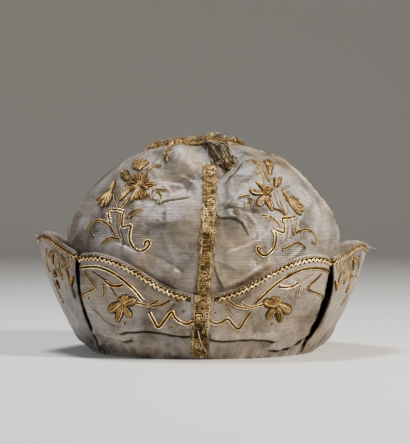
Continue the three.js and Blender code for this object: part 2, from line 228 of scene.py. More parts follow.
chord = length_along(np.c_[CROWN_HEIGHTS, CROWN_HALF_WIDTHS])
fine = np.linspace(0, chord[-1], FINE_POINTS)
fine_height = smooth_read(chord, CROWN_HEIGHTS, fine)
fine_width = smooth_read(chord, CROWN_HALF_WIDTHS, fine)
fine_run = length_along(np.c_[fine_height, fine_width])
CROWN_RUN = fine_run[-1]
print(f"from hem to top along the cloth: {CROWN_RUN:.0f} mm")

# %% The crown's skin
TURN, CLIMB = 0.4, 0.004  # degrees and shares to either side of a place, to feel which way a surface faces


def crown_height(share):
    return np.interp(share * CROWN_RUN, fine_run, fine_height)


def crown_half_width(share):
    return np.interp(share * CROWN_RUN, fine_run, fine_width)


def share_at_height(height):
    return np.interp(height, fine_height, fine_run) / CROWN_RUN


def stack(*parts):
    return np.stack(np.broadcast_arrays(*parts), -1)


def plain_crown(azimuth, share):
    """Points of the dome. The azimuth is in degrees from the front seam, to the right in the photograph."""
    height, width = crown_height(share), crown_half_width(share)
    depth = width * (DEPTH_RATIO_HEM + (DEPTH_RATIO_TOP - DEPTH_RATIO_HEM) * height / CROWN_HEIGHTS[-1])
    angle = np.radians(azimuth) + SEAM_LEAN * (height - LEAN_LEVEL)
    return stack(width * np.sin(angle), -depth * np.cos(angle), height)


def unit(vectors):
    return vectors / np.linalg.norm(vectors, axis=-1, keepdims=True)


def facing(place, azimuth, share):
    """The outward normals of a surface."""
    azimuth, share = (np.asarray(row, float) for row in np.broadcast_arrays(azimuth, share))
    right = place(azimuth + TURN, share) - place(azimuth - TURN, share)
    up = place(azimuth, share + CLIMB) - place(azimuth, share - CLIMB)
    return unit(np.cross(right, up))


print("widest half width:", max(CROWN_HALF_WIDTHS))

# %% [markdown]
# ## The form of the brim
#
# The brim is a second wall that turns up from the hem. A table gives its section from the front seam round
# to the side: the height of the scalloped edge, how far it stands off the crown and how much it bellies.
# Between the front panel and the wing the cloth doubles back in a deep pleat, so the table also lets the
# azimuth slide on and back there: one layer runs behind the panel, turns and comes out again as the wing.
# The other three quarters of the brim follow by symmetry.

# %% The brim's table
BRIM_COLUMNS = ("key", "azimuth", "edge", "stand_off", "belly")
BRIM_SECTIONS = np.array([
    (0, 0, 53.5, 3, 4),
    (14, 14, 62, 4.5, 5),
    (30, 30, 81, 8, 6),
    (42, 41, 89, 11, 6),
    (49, 48, 89.5, 12.5, 6),
    (54, 52.2, 88, 12, 5),
    (56, 57.5, 86.5, 7, 1),
    (58, 62, 86, 2, 0),
    (60.5, 61.5, 87, 3, 0),
    (63, 54.4, 90, 12.5, 5.5),
    (67, 61.6, 95, 13.5, 4.5),
    (74, 73, 103, 15.5, 2.5),
    (82, 82, 105.5, 20, 1),
    (90, 90, 102, 24.5, 0),
])
RIGHT_DROP = {"by": 9, "from": 30, "to": 90}  # the right wing sinks, between these azimuths
RIGHT_PLEAT = {"key": 63, "reach": 6, "full": 30, "turn": 1.2, "stand": 2.6}  # the right pleat gapes more
HEM_STAND_OFF = 1
BAND = 24  # the height of the band, from the hem up
EDGE_SHARE = 2
FOOT = 8  # how far the hem is turned under the crown
ROLL_HEIGHT, ROLL_SHARE = 12, 0.3  # the roll of the hem, and how much of the stand-off it takes


def front_azimuth(azimuth):
    """The azimuth as it is at the front, from -90 at the left side to 90 at the right, for the back too."""
    return np.degrees(np.arcsin(np.sin(np.radians(azimuth))))


def brim_read(column, turned):
    return smooth_read(BRIM_SECTIONS[:, 0], BRIM_SECTIONS[:, BRIM_COLUMNS.index(column)], turned)


def edge_height(rightwards):
    """The height of the scalloped edge."""
    sunk = RIGHT_DROP["by"] * smooth_step(rightwards, RIGHT_DROP["from"], RIGHT_DROP["to"])
    return brim_read("edge", np.abs(rightwards)) - sunk


def level_out(points):
    """The level direction out of the cap's oval plan, at each point."""
    return unit(points * (1, 1 / DEPTH_RATIO_HEM**2, 0))


def plain_brim(azimuth, share):
    """Points of the brim's outer face. A share of 0 is the hem, 1 the top of the band and 2 the edge."""
    rightwards = front_azimuth(azimuth)
    turned = np.abs(rightwards)
    edge = edge_height(rightwards)
    height = np.where(share <= 1, share * BAND, BAND + (edge - BAND) * (share - 1))
    up = height / edge
    bulge = np.sin(np.pi * np.clip(up, 0, 1))
    gape = bump(np.abs(turned - RIGHT_PLEAT["key"]) / RIGHT_PLEAT["reach"])
    gape = gape * smooth_step(rightwards, 0, RIGHT_PLEAT["full"]) * bulge
    rolled = smooth_step(height, 0, ROLL_HEIGHT)
    slid = (brim_read("azimuth", turned) + RIGHT_PLEAT["turn"] * gape - turned) * rolled
    outwards = np.where(np.cos(np.radians(azimuth)) > 0, 1, -1) * np.sign(rightwards)
    on_crown = share_at_height(np.maximum(height, CROWN_HEIGHTS[0]))
    point = plain_crown(azimuth + slid * outwards, on_crown)
    rise = ROLL_SHARE * rolled + (1 - ROLL_SHARE) * up
    clear = HEM_STAND_OFF + (brim_read("stand_off", turned) - HEM_STAND_OFF) * rise
    clear = clear + brim_read("belly", turned) * bulge + RIGHT_PLEAT["stand"] * gape
    point = point + level_out(point) * (clear + CLOTH)[..., None]
    point[..., 2] = height
    return point


whole_turn = np.arange(0, 361)
edge_line = plain_brim(whole_turn, np.full(len(whole_turn), EDGE_SHARE))
print(f"scalloped edge: {length_along(edge_line)[-1]:.0f} mm round")

# %% [markdown]
# ## Places on the cloth
#
# A fold or a stitch is easiest to measure in the photograph. This cell lays a coarse net over the crown and
# over the brim, sends a ray through each measured pixel and reads the azimuth and the share where it lands.
# Later on, a second pair of nets lies over the creased cloth, and places the embroidery.

# %% From a pixel to the cloth
NET_REACH, NET_STEP = 110, 1  # degrees to either side of the front, and between two columns
NET_AZIMUTHS = np.arange(-NET_REACH, NET_REACH + NET_STEP, NET_STEP, dtype=float)
NET_WIDE = len(NET_AZIMUTHS)
CROWN_NET_SHARES = np.linspace(0.02, 0.995, 70)
BRIM_NET_SHARES = np.linspace(0, EDGE_SHARE, 40)
LACE_AT_EDGE = (203, 297)  # the pixel where the front lace crosses the edge of the brim


class Net:
    """A coarse copy of a surface, for finding the place that a pixel shows."""

    def __init__(self, place, shares):
        self.place = place
        self.shares = shares
        grid_azimuth, grid_share = np.meshgrid(NET_AZIMUTHS, shares)
        self.corners = place(grid_azimuth.ravel(), grid_share.ravel())
        starts = [j * NET_WIDE + i for j in range(len(shares) - 1) for i in range(NET_WIDE - 1)]
        quads = [(n, n + 1, n + NET_WIDE + 1, n + NET_WIDE) for n in starts]
        self.tree = BVHTree.FromPolygons([tuple(c) for c in self.corners], quads)

    def find(self, pixel):
        hit, _, quad, _ = self.tree.ray_cast(camera_at, ray_through(pixel))
        if hit is None:
            raise ValueError(f"pixel {pixel} misses the cloth")
        row, column = divmod(quad, NET_WIDE - 1)
        corner, beside, over = self.corners[row * NET_WIDE + column + np.array([0, 1, NET_WIDE])]
        sides = np.stack([beside - corner, over - corner], -1)
        (across, up), *_ = np.linalg.lstsq(sides, np.array(hit) - corner, rcond=None)
        climb = self.shares[row + 1] - self.shares[row]
        return NET_AZIMUTHS[column] + across * NET_STEP, self.shares[row] + up * climb


crown_net = Net(plain_crown, CROWN_NET_SHARES)
brim_net = Net(plain_brim, BRIM_NET_SHARES)
print("the lace crosses the brim's edge at", np.round(brim_net.find(LACE_AT_EDGE), 2))

# %% [markdown]
# ## Folds and creases
#
# Soft silk that has lain in a chest for two centuries keeps its creases. Broad swells and hollows come from
# a table of lines that lift or sink the cloth around them, the same as in the solid model. Sharp creases
# follow the photograph: each has a path, a height on its left side and another on its right, so that one
# side can hang over the other and throw a shadow. Displacing the surface in code keeps every crease where
# it is in the picture, which a simulation would not.

# %% The broad folds
SWELL_COLUMNS = ("what", "start", "end", "wide", "lift")
CROWN_SWELLS = table(SWELL_COLUMNS, [
    ("puff by the seam", (-22, 172), (-15, 165), 22, 7),
    ("tassel pocket", (14, 170), (16, 160), 22, -7),
    ("pleat below it", (28, 162), (13, 143), 19, 5),
    ("hollow at left", (-27, 149), (-14, 146), 20, -5),
    ("crease at left", (-26, 132), (-9, 137), 17, -3),
    ("crook at right", (9, 129), (12, 113), 17, 3.5),
    ("tail of the crook", (12, 113), (18, 99), 17, 3),
    ("swell at left", (-48, 93), (-14, 66), 17, 3),
    ("swell at right", (10, 84), (17, 74), 16, 2),
    ("shoulder ridge", (47, 161), (63, 116), 20, 4),
    ("right back sag", (154, 158), (138, 122), 26, -6),
    ("left back swell", (204, 168), (216, 152), 24, 6),
    ("left back sag", (232, 136), (208, 108), 26, -5),
])
BRIM_SWELLS = table(SWELL_COLUMNS, [
    ("left of the front", (-58, 46), (-30, 9), 13, 3.5),
    ("right of the front", (57, 30), (28, 9), 12, 3),
    ("left of the back", (236, 38), (208, 9), 13, 3),
    ("right of the back", (124, 44), (152, 9), 13, 3.5),
])


def swell_paths(rows):
    """Each broad fold as three points of the dome, with its width and lift."""
    paths = []
    for row in rows:
        places = np.linspace(row["start"], row["end"], 3)
        paths.append((plain_crown(places[:, 0], share_at_height(places[:, 1])), row["wide"], row["lift"]))
    return paths


def nearest_on(path, points):
    """How far points are from a path, which way the nearest piece of it runs and how far along that is."""
    best = np.full(len(points), np.inf)
    away, heading, along = np.zeros_like(points), np.zeros_like(points), np.zeros(len(points))
    done = 0.0
    for start, end in zip(path[:-1], path[1:]):
        size = np.linalg.norm(end - start)
        direction = (end - start) / size
        t = np.clip((points - start) @ direction, 0, size)
        offset = points - start - t[:, None] * direction
        distance = np.linalg.norm(offset, axis=1)
        near = distance < best
        best[near], away[near], along[near] = distance[near], offset[near], done + t[near]
        heading[near] = direction
        done += size
    return best, away, heading, along, done


def swell_lift(paths, points):
    return sum(lift * bump(nearest_on(path, points)[0] / wide) for path, wide, lift in paths)


crown_swells, brim_swells = swell_paths(CROWN_SWELLS), swell_paths(BRIM_SWELLS)
print("broad folds:", len(crown_swells) + len(brim_swells))

# %% The sharp creases, measured in the photograph
# Each pair below is a height, a depth or an amount, and how far from the path it fades to nothing.
# The last two marks of a crease are painted: shade along the foot of the fold, and a highlight on its
# crest.
CROWN_CREASES = [
    {"path": [(157, 206), (165.5, 201.3), (172.7, 199.7), (186, 197), (194, 197)],
     "left": (1.8, 12), "right": (1.2, 8), "slit": (1.5, 1.6), "painted_shade": (1, 1.6)},
    {"path": [(214, 208), (217.5, 216.5), (229.5, 220.5), (238.4, 225), (243, 230.4), (249, 239)],
     "left": (2.4, 7), "right": (0.6, 4), "slit": (1.4, 1.6), "painted_shade": (1, 1.6), "painted_highlight": (0.6, 2)},
    {"path": [(243, 161), (236.7, 169), (230, 177.6), (225.3, 184), (220, 188)],
     "left": (1.6, 9), "right": (2.6, 4), "slit": (1.6, 1.6), "painted_shade": (0.9, 1.5), "painted_highlight": (0.6, 2)},
    {"path": [(235, 159), (230, 166.7), (224.7, 173.6), (221, 180)],
     "left": (2.4, 4), "right": (-2.6, 9), "painted_shade": (0.9, 2)},
    {"path": [(162, 181), (167.7, 187), (173.5, 191.5)],
     "left": (1.3, 5), "right": (1.3, 4), "painted_highlight": (0.9, 1.8)},
    {"path": [(168, 181), (176, 181.4), (184, 182.2)],
     "left": (-0.8, 4), "right": (1.6, 6), "painted_highlight": (0.9, 3)},
    {"path": [(168.5, 182), (172, 187), (175.5, 191)], "slit": (1, 2), "painted_shade": (0.8, 2)},
    {"path": [(165, 193), (172, 194.7), (180.3, 190.9), (186, 186)],
     "left": (1.3, 5), "right": (1.1, 4), "painted_highlight": (0.7, 2)},
    {"path": [(177, 175), (184.7, 176), (188.6, 177.7), (196.2, 183.8), (199, 190)],
     "left": (-0.7, 5), "right": (1.6, 6), "painted_highlight": (0.7, 2.4)},
    {"path": [(222.3, 257.1), (229.5, 250.9), (237.5, 248.2), (246.4, 244.6), (253.6, 241.1), (262, 240)],
     "left": (1, 3), "right": (1, 4), "painted_highlight": (1, 1.5)},
    {"path": [(211, 257.5), (222.3, 261.6), (231.3, 265.2), (235.7, 267.9), (240, 272.5)],
     "left": (0.9, 3), "right": (0.9, 3), "painted_highlight": (0.9, 1.5)},
    {"path": [(222, 287), (239.3, 278), (250, 271.5), (262.5, 265.2), (274, 261)],
     "left": (1.6, 6), "right": (1.6, 6), "painted_highlight": (0.5, 3)},
    {"path": [(213.5, 261), (215.5, 271), (219, 280), (225, 291)],
     "left": (2.2, 9), "right": (-0.8, 3), "painted_shade": (0.8, 2), "painted_highlight": (0.6, 2.5)},
    {"path": [(114, 241), (126, 245.5), (150.5, 254.5), (168, 263.5), (184, 274)],
     "left": (-0.8, 8), "right": (2, 12), "painted_shade": (0.4, 3), "painted_highlight": (0.4, 4)},
    {"path": [(270, 158), (284, 168), (298, 179), (316, 200), (330, 222)],
     "left": (2.4, 8), "right": (2.4, 6), "painted_highlight": (0.9, 5)},
    {"path": [(221, 210), (237.5, 209), (250, 210), (261, 214)],
     "left": (1, 8), "right": (1, 8), "slit": (1.4, 4), "painted_shade": (0.5, 3)},
    {"path": [(240, 195), (234.4, 200), (228.7, 204), (223, 207)],
     "left": (1.3, 4), "right": (1.3, 4), "painted_highlight": (0.8, 2)},
    {"path": [(112, 200), (98, 214), (86, 234)], "left": (1.2, 9), "right": (1.2, 9), "painted_highlight": (0.3, 4)},
    {"path": [(143, 222), (163, 226), (192, 221)], "left": (1, 10), "right": (-0.6, 9)},
    {"path": [(132, 258), (150, 268), (172, 276)], "left": (1, 8), "right": (0.6, 6), "painted_highlight": (0.5, 3)},
]
BRIM_CREASES = [
    {"path": [(118, 335), (126, 332), (132.7, 331), (152.8, 331.5), (175, 335), (194, 336.5)],
     "left": (3.2, 12), "right": (0.2, 6), "slit": (2.2, 2.2), "painted_shade": (2, 2.6)},
    {"path": [(205, 337.5), (220, 340.4), (241, 339.3), (264, 339.3), (278, 342.5)],
     "left": (3.2, 12), "right": (0.2, 6), "slit": (2.2, 2.2), "painted_shade": (2, 2.6)},
    {"path": [(88, 304), (97, 311.4), (108, 322.6), (118, 326), (125, 326)],
     "left": (1, 6), "right": (0.6, 5), "slit": (1, 1.6), "painted_shade": (0.8, 1.5)},
    {"path": [(89, 329.5), (108, 335), (118, 338), (129, 342)],
     "left": (1.8, 4), "right": (1.2, 4), "painted_highlight": (0.6, 2)},
    {"path": [(99, 344), (104, 340), (112, 333)], "left": (1, 4), "right": (1, 4), "painted_highlight": (0.4, 2)},
    {"path": [(265, 349.5), (275, 350), (285, 348.5), (295, 344.5), (303, 339), (309, 334.5)],
     "left": (1.3, 9), "right": (0.7, 6), "slit": (2, 2.8), "painted_shade": (2.2, 3.2)},
    {"path": [(272, 331), (288, 329), (304, 321), (314, 309)], "left": (1.2, 10), "right": (0.7, 10)},
    {"path": [(119, 339), (127, 341), (135, 340)],
     "left": (1, 5), "right": (0.5, 4), "slit": (1.6, 2.2), "painted_shade": (1.8, 2.6)},
    {"path": [(65.5, 266), (70, 280), (74, 292), (77.5, 302)],
     "left": (0.8, 5), "right": (0.8, 5), "slit": (1.4, 2), "painted_shade": (1.5, 2.4)},
]
# the last two marks are painted shade and a painted highlight
CREASE_MARKS = ("left", "right", "slit", "painted_shade", "painted_highlight")
CREASE_POINTS = 6  # for each measured one
CREASE_EDGE = 0.8  # the cloth goes from one side's height to the other's within this, each way
CREASE_TAPER = 7
HIGHLIGHT_OFFSET = 1.7  # how far the painted highlight on the crest is from the painted shade at the foot
BACK_DEPTH = 0.8  # the same creases cross the unseen back, mirrored and a little softer
NONE = (0, 1)  # for a mark that a crease doesn't have


def crease_paths(rows, net):
    """Every crease as points on its surface, at the front and again at the back."""
    paths = []
    for row in rows:
        places = np.array([net.find(pixel) for pixel in row["path"]])
        steps = np.arange(len(places))
        often = np.linspace(0, len(places) - 1, CREASE_POINTS * len(places))
        azimuth, share = (smooth_read(steps, places[:, n], often) for n in (0, 1))
        left, right, *marks = (row.get(key, NONE) for key in CREASE_MARKS)
        paths.append((net.place(azimuth, share), 1, left, right, *marks))
        paths.append((net.place(180 - azimuth, share), BACK_DEPTH, right, left, *marks))
    return paths


def crease_form(paths, points, normals):
    """How far the creases lift the cloth, and where they paint a highlight (above 0) or shade (below 0)."""
    lift, light_and_tone = np.zeros(len(points)), np.zeros(len(points))
    for path, depth, left, right, slit, painted_shade, painted_highlight in paths:
        widest = max(left[1], right[1])
        near = np.all((points > path.min(0) - widest) & (points < path.max(0) + widest), axis=1)
        if not near.any():
            continue
        distance, away, heading, along, length = nearest_on(path, points[near])
        taper = min(CREASE_TAPER, length / 3)
        fade = depth * smooth_step(along, 0, taper) * smooth_step(length - along, 0, taper)
        leftwards = np.einsum("ij,ij->i", np.cross(normals[near], heading), away)
        on_left = smooth_step(leftwards, -CREASE_EDGE, CREASE_EDGE)
        high, low = left[0] * bump(distance / left[1]), right[0] * bump(distance / right[1])
        lift[near] += fade * (low + (high - low) * on_left - slit[0] * bump(distance / slit[1]))
        # a painted highlight along the crest, and painted shade along the foot of the fold
        crest = HIGHLIGHT_OFFSET * np.sign(left[0] - right[0]) * (painted_shade[0] > 0)
        light_and_tone[near] += fade * painted_highlight[0] * bump(np.abs(leftwards - crest) / painted_highlight[1]) * bump(distance / widest)
        light_and_tone[near] -= fade * painted_shade[0] * bump(distance / painted_shade[1])
    return lift, np.clip(light_and_tone, -1, 1)


crown_creases = crease_paths(CROWN_CREASES, crown_net)
brim_creases = crease_paths(BRIM_CREASES, brim_net)
print("sharp creases:", len(crown_creases) + len(brim_creases))

# %% The crumpled cloth
PUFF = {"lift": 2, "low": 15, "high": 70}  # a quarter swells by so much, growing between these heights
SEAM_HOLD, SEAM_FREE = 6, 20  # the cloth is held this near to a seam, and is free from there on
SUNK_SEAM = {"at": 270, "deep": 2.6, "wide": 16, "low": 70, "high": 100}  # the left seam is drawn in
CRUMPLES = [{"size": 34, "height": 1.1}, {"size": 13, "height": 0.45}]
FACETS = {"size": 26, "height": 0.9, "edge": 0.25}
BRIM_CRUMPLE = 0.7  # the brim is less crumpled than the crown
GATHERS = [{"pitch_deg": 5.3, "height": 0.6}, {"pitch_deg": 2.3, "height": 0.28}]
GATHER_WANDER = {"by": 3, "waves": 5}  # the gathers crowd together and spread, so many times round
GATHERED = (1.1, 0.3)  # the shares where the gathers start and where they are full
HEM_HELD = 0.15  # below this share the folds fade out
CROWN_POLE = 0.99  # past this share the dome has no clear normal
BRIM_INNER = (0.02, 1.99)  # the brim has one between these shares


def crumple(points):
    """Soft unevenness, and the network of faint ridges that creased silk keeps."""
    lift = np.zeros(len(points))
    for n, point in enumerate(points):
        for row in CRUMPLES:
            lift[n] += row["height"] * noise.noise(Vector(point) / row["size"])
        (first, second, *_), _ = noise.voronoi(Vector(point) / FACETS["size"])
        lift[n] += FACETS["height"] * max(0, 1 - (second - first) / FACETS["edge"])
    return lift


def crown_cloth(azimuth, share, lift=0):
    """Points of the creased crown, lifted off it by so many millimetres, and the outward normals."""
    azimuth, share, lift = (np.ravel(row) for row in np.broadcast_arrays(azimuth, share, lift))
    points = plain_crown(azimuth, share)
    normals = facing(plain_crown, azimuth, np.minimum(share, CROWN_POLE))
    from_seams = np.abs(np.sin(2 * np.radians(azimuth)))
    puff = PUFF["lift"] * from_seams * smooth_step(points[:, 2], PUFF["low"], PUFF["high"])
    free = smooth_step(from_seams * crown_half_width(share) / 2, SEAM_HOLD, SEAM_FREE)
    folds = swell_lift(crown_swells, points) + crease_form(crown_creases, points, normals)[0]
    folds = folds + crumple(points)
    beside = np.radians((azimuth - SUNK_SEAM["at"] + 180) % 360 - 180) * crown_half_width(share)
    sunk = SUNK_SEAM["deep"] * bump(np.abs(beside) / SUNK_SEAM["wide"])
    sunk = sunk * smooth_step(points[:, 2], SUNK_SEAM["low"], SUNK_SEAM["high"])
    return points + normals * ((folds + puff) * free - sunk + lift)[:, None], normals


def brim_cloth(azimuth, share, lift=0):
    """The same for the brim, with small gathers towards the hem."""
    azimuth, share, lift = (np.ravel(row) for row in np.broadcast_arrays(azimuth, share, lift))
    points = plain_brim(azimuth, share)
    normals = facing(plain_brim, azimuth, np.clip(share, *BRIM_INNER))
    folds = swell_lift(brim_swells, points) + crease_form(brim_creases, points, normals)[0]
    folds = folds + BRIM_CRUMPLE * crumple(points)
    wander = GATHER_WANDER["by"] * np.sin(np.radians(GATHER_WANDER["waves"] * azimuth))
    for row in GATHERS:
        gather = np.sin(2 * np.pi * azimuth / row["pitch_deg"] + wander)
        folds = folds + row["height"] * gather * smooth_step(share, *GATHERED)
    folds = folds * smooth_step(share, 0, HEM_HELD)
    return points + normals * (folds + lift)[:, None], normals


print("cloth at the front of the brim:", brim_cloth(0, 1)[0].round(1))

# %% [markdown]
# ## Painted light and shade
#
# Light and shade are painted into the silk here. Broad patches are given by a pixel, a width and a tone:
# the pale ones are painted highlights and painted light on cloth that turns away from the lamps, a few
# dark ones are painted shade in hollows, and the other dark ones only darken the silk. Each crease adds a
# painted highlight on its crest and painted shade at its foot. All of it becomes one number for each corner
# of the mesh, from -1 for the darkest to 1 for the palest, which the silk's colour reads. A painted picture
# would do too, but a number on the corner needs no image and follows the cloth.

# %% The painted light and shade
PATCH_COLUMNS = ("what", "at", "wide", "tone")
# The pale rows are painted highlights on the puff, the folds and the shoulder; the dull hollow and the
# shade under the puff are painted shade; the brown rows only darken the silk.
CROWN_PATCHES = table(PATCH_COLUMNS, [
    ("brown left of the lace", (184, 230), 38, -0.3),
    ("brown below it", (184, 274), 26, -0.16),
    ("pale puff", (188, 163), 26, 0.3),
    ("pale folds at the left", (178, 184), 30, 0.3),
    ("dull hollow right of the lace", (222, 208), 22, -0.2),
    ("brown down there", (222, 246), 26, -0.16),
    ("pale folds by the tassel", (232, 180), 22, 0.2),
    ("shade under the puff", (195, 180), 14, -0.3),
    ("top of the pale shoulder", (294, 176), 14, 0.35),
    ("pale shoulder", (310, 194), 14, 0.35),
    ("foot of the pale shoulder", (323, 212), 14, 0.35),
])
# The pale rows and the two rows of the band are painted light on cloth that turns away from the lamps; the
# grey row only darkens the silk.
BRIM_PATCHES = table(PATCH_COLUMNS, [
    ("left of the band", (156, 345), 52, 0.22),
    ("right of the band", (248, 349), 52, 0.24),
    ("grey below the braid", (160, 296), 30, -0.18),
    ("pale fold at the left", (103, 333), 22, 0.5),
    ("pale foot of that fold", (122, 347), 24, 0.5),
])
LEAST_SHARE = 0.01


def light_and_tone_on(net, creases, patches):
    """A function that tells how much painted light and shade, and darker tone, a surface has at azimuths
    and shares.
    """
    centres = [net.place(*net.find(row["at"])) for row in patches]

    def light_and_tone(azimuth, share):
        share = np.clip(share, LEAST_SHARE, None)
        points = net.place(azimuth, share)
        # painted highlights on the creases' crests and painted shade at their feet
        worn = crease_form(creases, points, facing(net.place, azimuth, share))[1]
        for row, centre in zip(patches, centres):
            worn = worn + row["tone"] * bump(np.linalg.norm(points - centre, axis=-1) / row["wide"])
        return np.clip(worn, -1, 1)

    return light_and_tone


crown_light_and_tone = light_and_tone_on(crown_net, crown_creases, CROWN_PATCHES)
brim_light_and_tone = light_and_tone_on(brim_net, brim_creases, BRIM_PATCHES)
print("worn patches:", len(CROWN_PATCHES) + len(BRIM_PATCHES))

# %% [markdown]
# ## The silk
#
# The cap is sewn from a ribbed silk, grey where it faces the cool light and beige where it is worn. The
# ribs lie level, so they read the height on the piece's own UV map, which is in millimetres of cloth. Large
# soft noise gives the faded places, and a finer one the bruised look of creased silk. Each pattern becomes
# a colour through a ramp, and the colours are multiplied. The last ramp reads the number on each corner, so
# painted shade darkens the silk and painted highlights lighten it, and the painted shade also dulls its
# shine. The inside has the same nodes in linen tones.

# %% Nodes in few words
WAVE_PERIOD = 0.314  # how often Blender's wave texture repeats at a scale of 1
MIX_FACTOR, MIX_FIRST, MIX_SECOND, MIX_RESULT = 0, 6, 7, 2  # the sockets of a mix node that are for colours


def node(tree, kind, **settings):
    """A new node. Each setting is a value or a link for the socket of that name, or else a property."""
    made = tree.nodes.new(kind)
    for name, value in settings.items():
        socket = made.inputs.get(name.replace("_", " "))
        if isinstance(value, bpy.types.NodeSocket):
            tree.links.new(value, socket)
        elif socket is not None:
            socket.default_value = value
        else:
            setattr(made, name, value)
    return made


def noise_over(tree, place, **settings):
    return node(tree, "ShaderNodeTexNoise", Vector=place, **settings).outputs["Fac"]


def bands_over(tree, place, pitch, **settings):
    """Bands that follow one another at a pitch, along the second of the coordinates."""
    made = node(tree, "ShaderNodeTexWave", bands_direction="Y", Vector=place, Scale=WAVE_PERIOD / pitch,
                **settings)
    return made.outputs["Fac"]


def bumps(tree, height, **settings):
    return node(tree, "ShaderNodeBump", Height=height, **settings).outputs["Normal"]


def in_range(tree, value, **settings):
    return node(tree, "ShaderNodeMapRange", Value=value, **settings).outputs["Result"]


def ramp(tree, factor, stops):
    """A colour ramp, from rows of a position and a colour."""
    made = node(tree, "ShaderNodeValToRGB", Fac=factor)
    elements = made.color_ramp.elements
    while len(elements) < len(stops):
        elements.new(1)
    for element, (position, colour) in zip(elements, stops):
        element.position = position
        element.color = (*colour, 1)
    return made.outputs["Color"]


def multiply(tree, product, *colours):
    """Colours laid over one another, each of which darkens or lightens those before it."""
    for colour in colours:
        mix = node(tree, "ShaderNodeMix", data_type="RGBA", blend_type="MULTIPLY")
        mix.inputs[MIX_FACTOR].default_value = 1
        tree.links.new(product, mix.inputs[MIX_FIRST])
        tree.links.new(colour, mix.inputs[MIX_SECOND])
        product = mix.outputs[MIX_RESULT]
    return product


def feed(tree, shader, **sources):
    """Links sockets to those of the shader, named with _ for a space."""
    for name, source in sources.items():
        tree.links.new(source, shader.inputs[name.replace("_", " ")])


print("patterns to draw with: noise, bands and bumps")

# %% The silk and the inside
WHITE = (1, 1, 1)
FADED = (0.4, 0.6)  # of the noise: cool below the first, warm above the second
STAIN_PALE = (1.6, 1.6, 1.62)
STREAK_STRETCH = (0.05, 0.6, 1)
STREAK_TONES = [(0.32, (0.7, 0.68, 0.66)), (0.68, (1.25, 1.25, 1.26))]
RIB_TONES = [(0.1, (0.89, 0.88, 0.87)), (0.75, (1.04, 1.04, 1.04))]
# the darkest painted shade at 0, plain silk in the middle and the palest painted highlight at 1
LIGHT_AND_TONE_COLOURS = [(0, (0.08, 0.065, 0.05)), (0.5, WHITE), (1, (2.3, 2.3, 2.25))]


def silk_material(name, cool, warm, stain, rib_pitch):
    """Ribbed cloth that turns from a cool tone to a warm one, with stains and streaks, and painted light
    and shade.
    """
    made, tree, shader = new_material(name)
    place = node(tree, "ShaderNodeTexCoord").outputs["Object"]
    cloth = node(tree, "ShaderNodeUVMap", uv_map="cloth").outputs["UV"]
    # the painted light and shade on each corner
    worn = node(tree, "ShaderNodeAttribute", attribute_name="light_and_tone").outputs["Fac"]
    faded = noise_over(tree, place, Scale=13, Detail=4, Roughness=0.6)
    stains = noise_over(tree, place, Scale=34, Detail=6, Roughness=0.68)
    stretched = node(tree, "ShaderNodeMapping", Vector=cloth, Scale=STREAK_STRETCH).outputs["Vector"]
    streaks = noise_over(tree, stretched, Scale=1, Detail=4, Roughness=0.7)
    ribs = bands_over(tree, cloth, rib_pitch, Distortion=2.2, Detail=2, Detail_Scale=0.25)
    bruises = noise_over(tree, place, Scale=110, Detail=5, Roughness=0.62)
    colour = multiply(
        tree,
        ramp(tree, faded, list(zip(FADED, (cool, warm)))),
        ramp(tree, stains, [(0.36, stain), (0.5, WHITE), (0.66, STAIN_PALE)]),
        ramp(tree, streaks, STREAK_TONES),
        ramp(tree, ribs, RIB_TONES),
        # painted shade and painted highlights
        ramp(tree, in_range(tree, worn, From_Min=-1, From_Max=1), LIGHT_AND_TONE_COLOURS),
    )
    weave = bumps(tree, ribs, Strength=0.4, Distance=0.0003)
    feed(tree, shader, Base_Color=colour,
         # where shade is painted the silk shines less
         Specular_IOR_Level=in_range(tree, worn, From_Min=-0.7, From_Max=0, To_Min=0.05, To_Max=0.62),
         Roughness=in_range(tree, stains, From_Min=0.35, From_Max=0.65, To_Min=0.28, To_Max=0.48),
         Normal=bumps(tree, bruises, Normal=weave, Strength=0.75, Distance=0.0016))
    return made


SILK = silk_material("ribbed silk", (0.17, 0.15, 0.134), (0.178, 0.137, 0.092), (0.36, 0.3, 0.24), 1.5)
LINEN = silk_material("plain inside", (0.46, 0.4, 0.31), (0.42, 0.34, 0.24), (0.75, 0.7, 0.62), 0.7)
print("cloth finishes:", SILK.name, "and", LINEN.name)

# %% [markdown]
# ## The crown's quarters
#
# Each quarter starts as two flat grids, like the silk and its lining before they are sewn. Both are bent to
# the creased dome, the lining inside by the thickness of the wall, and stitched together round the rim. The
# lining is out of sight, so its grid is coarser. The two quarters that the photograph shows are the finest.

# %% Cutting and sewing a piece of cloth
LINING_STEP = 3  # one column or row of the lining for so many of the silk


def finish_piece(made, slot, *nodes):
    """Hands a finished piece to the frame: it rides on the cap and stands for the given solids."""
    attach(made, "root")
    if nodes:
        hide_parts(*nodes)
    return made


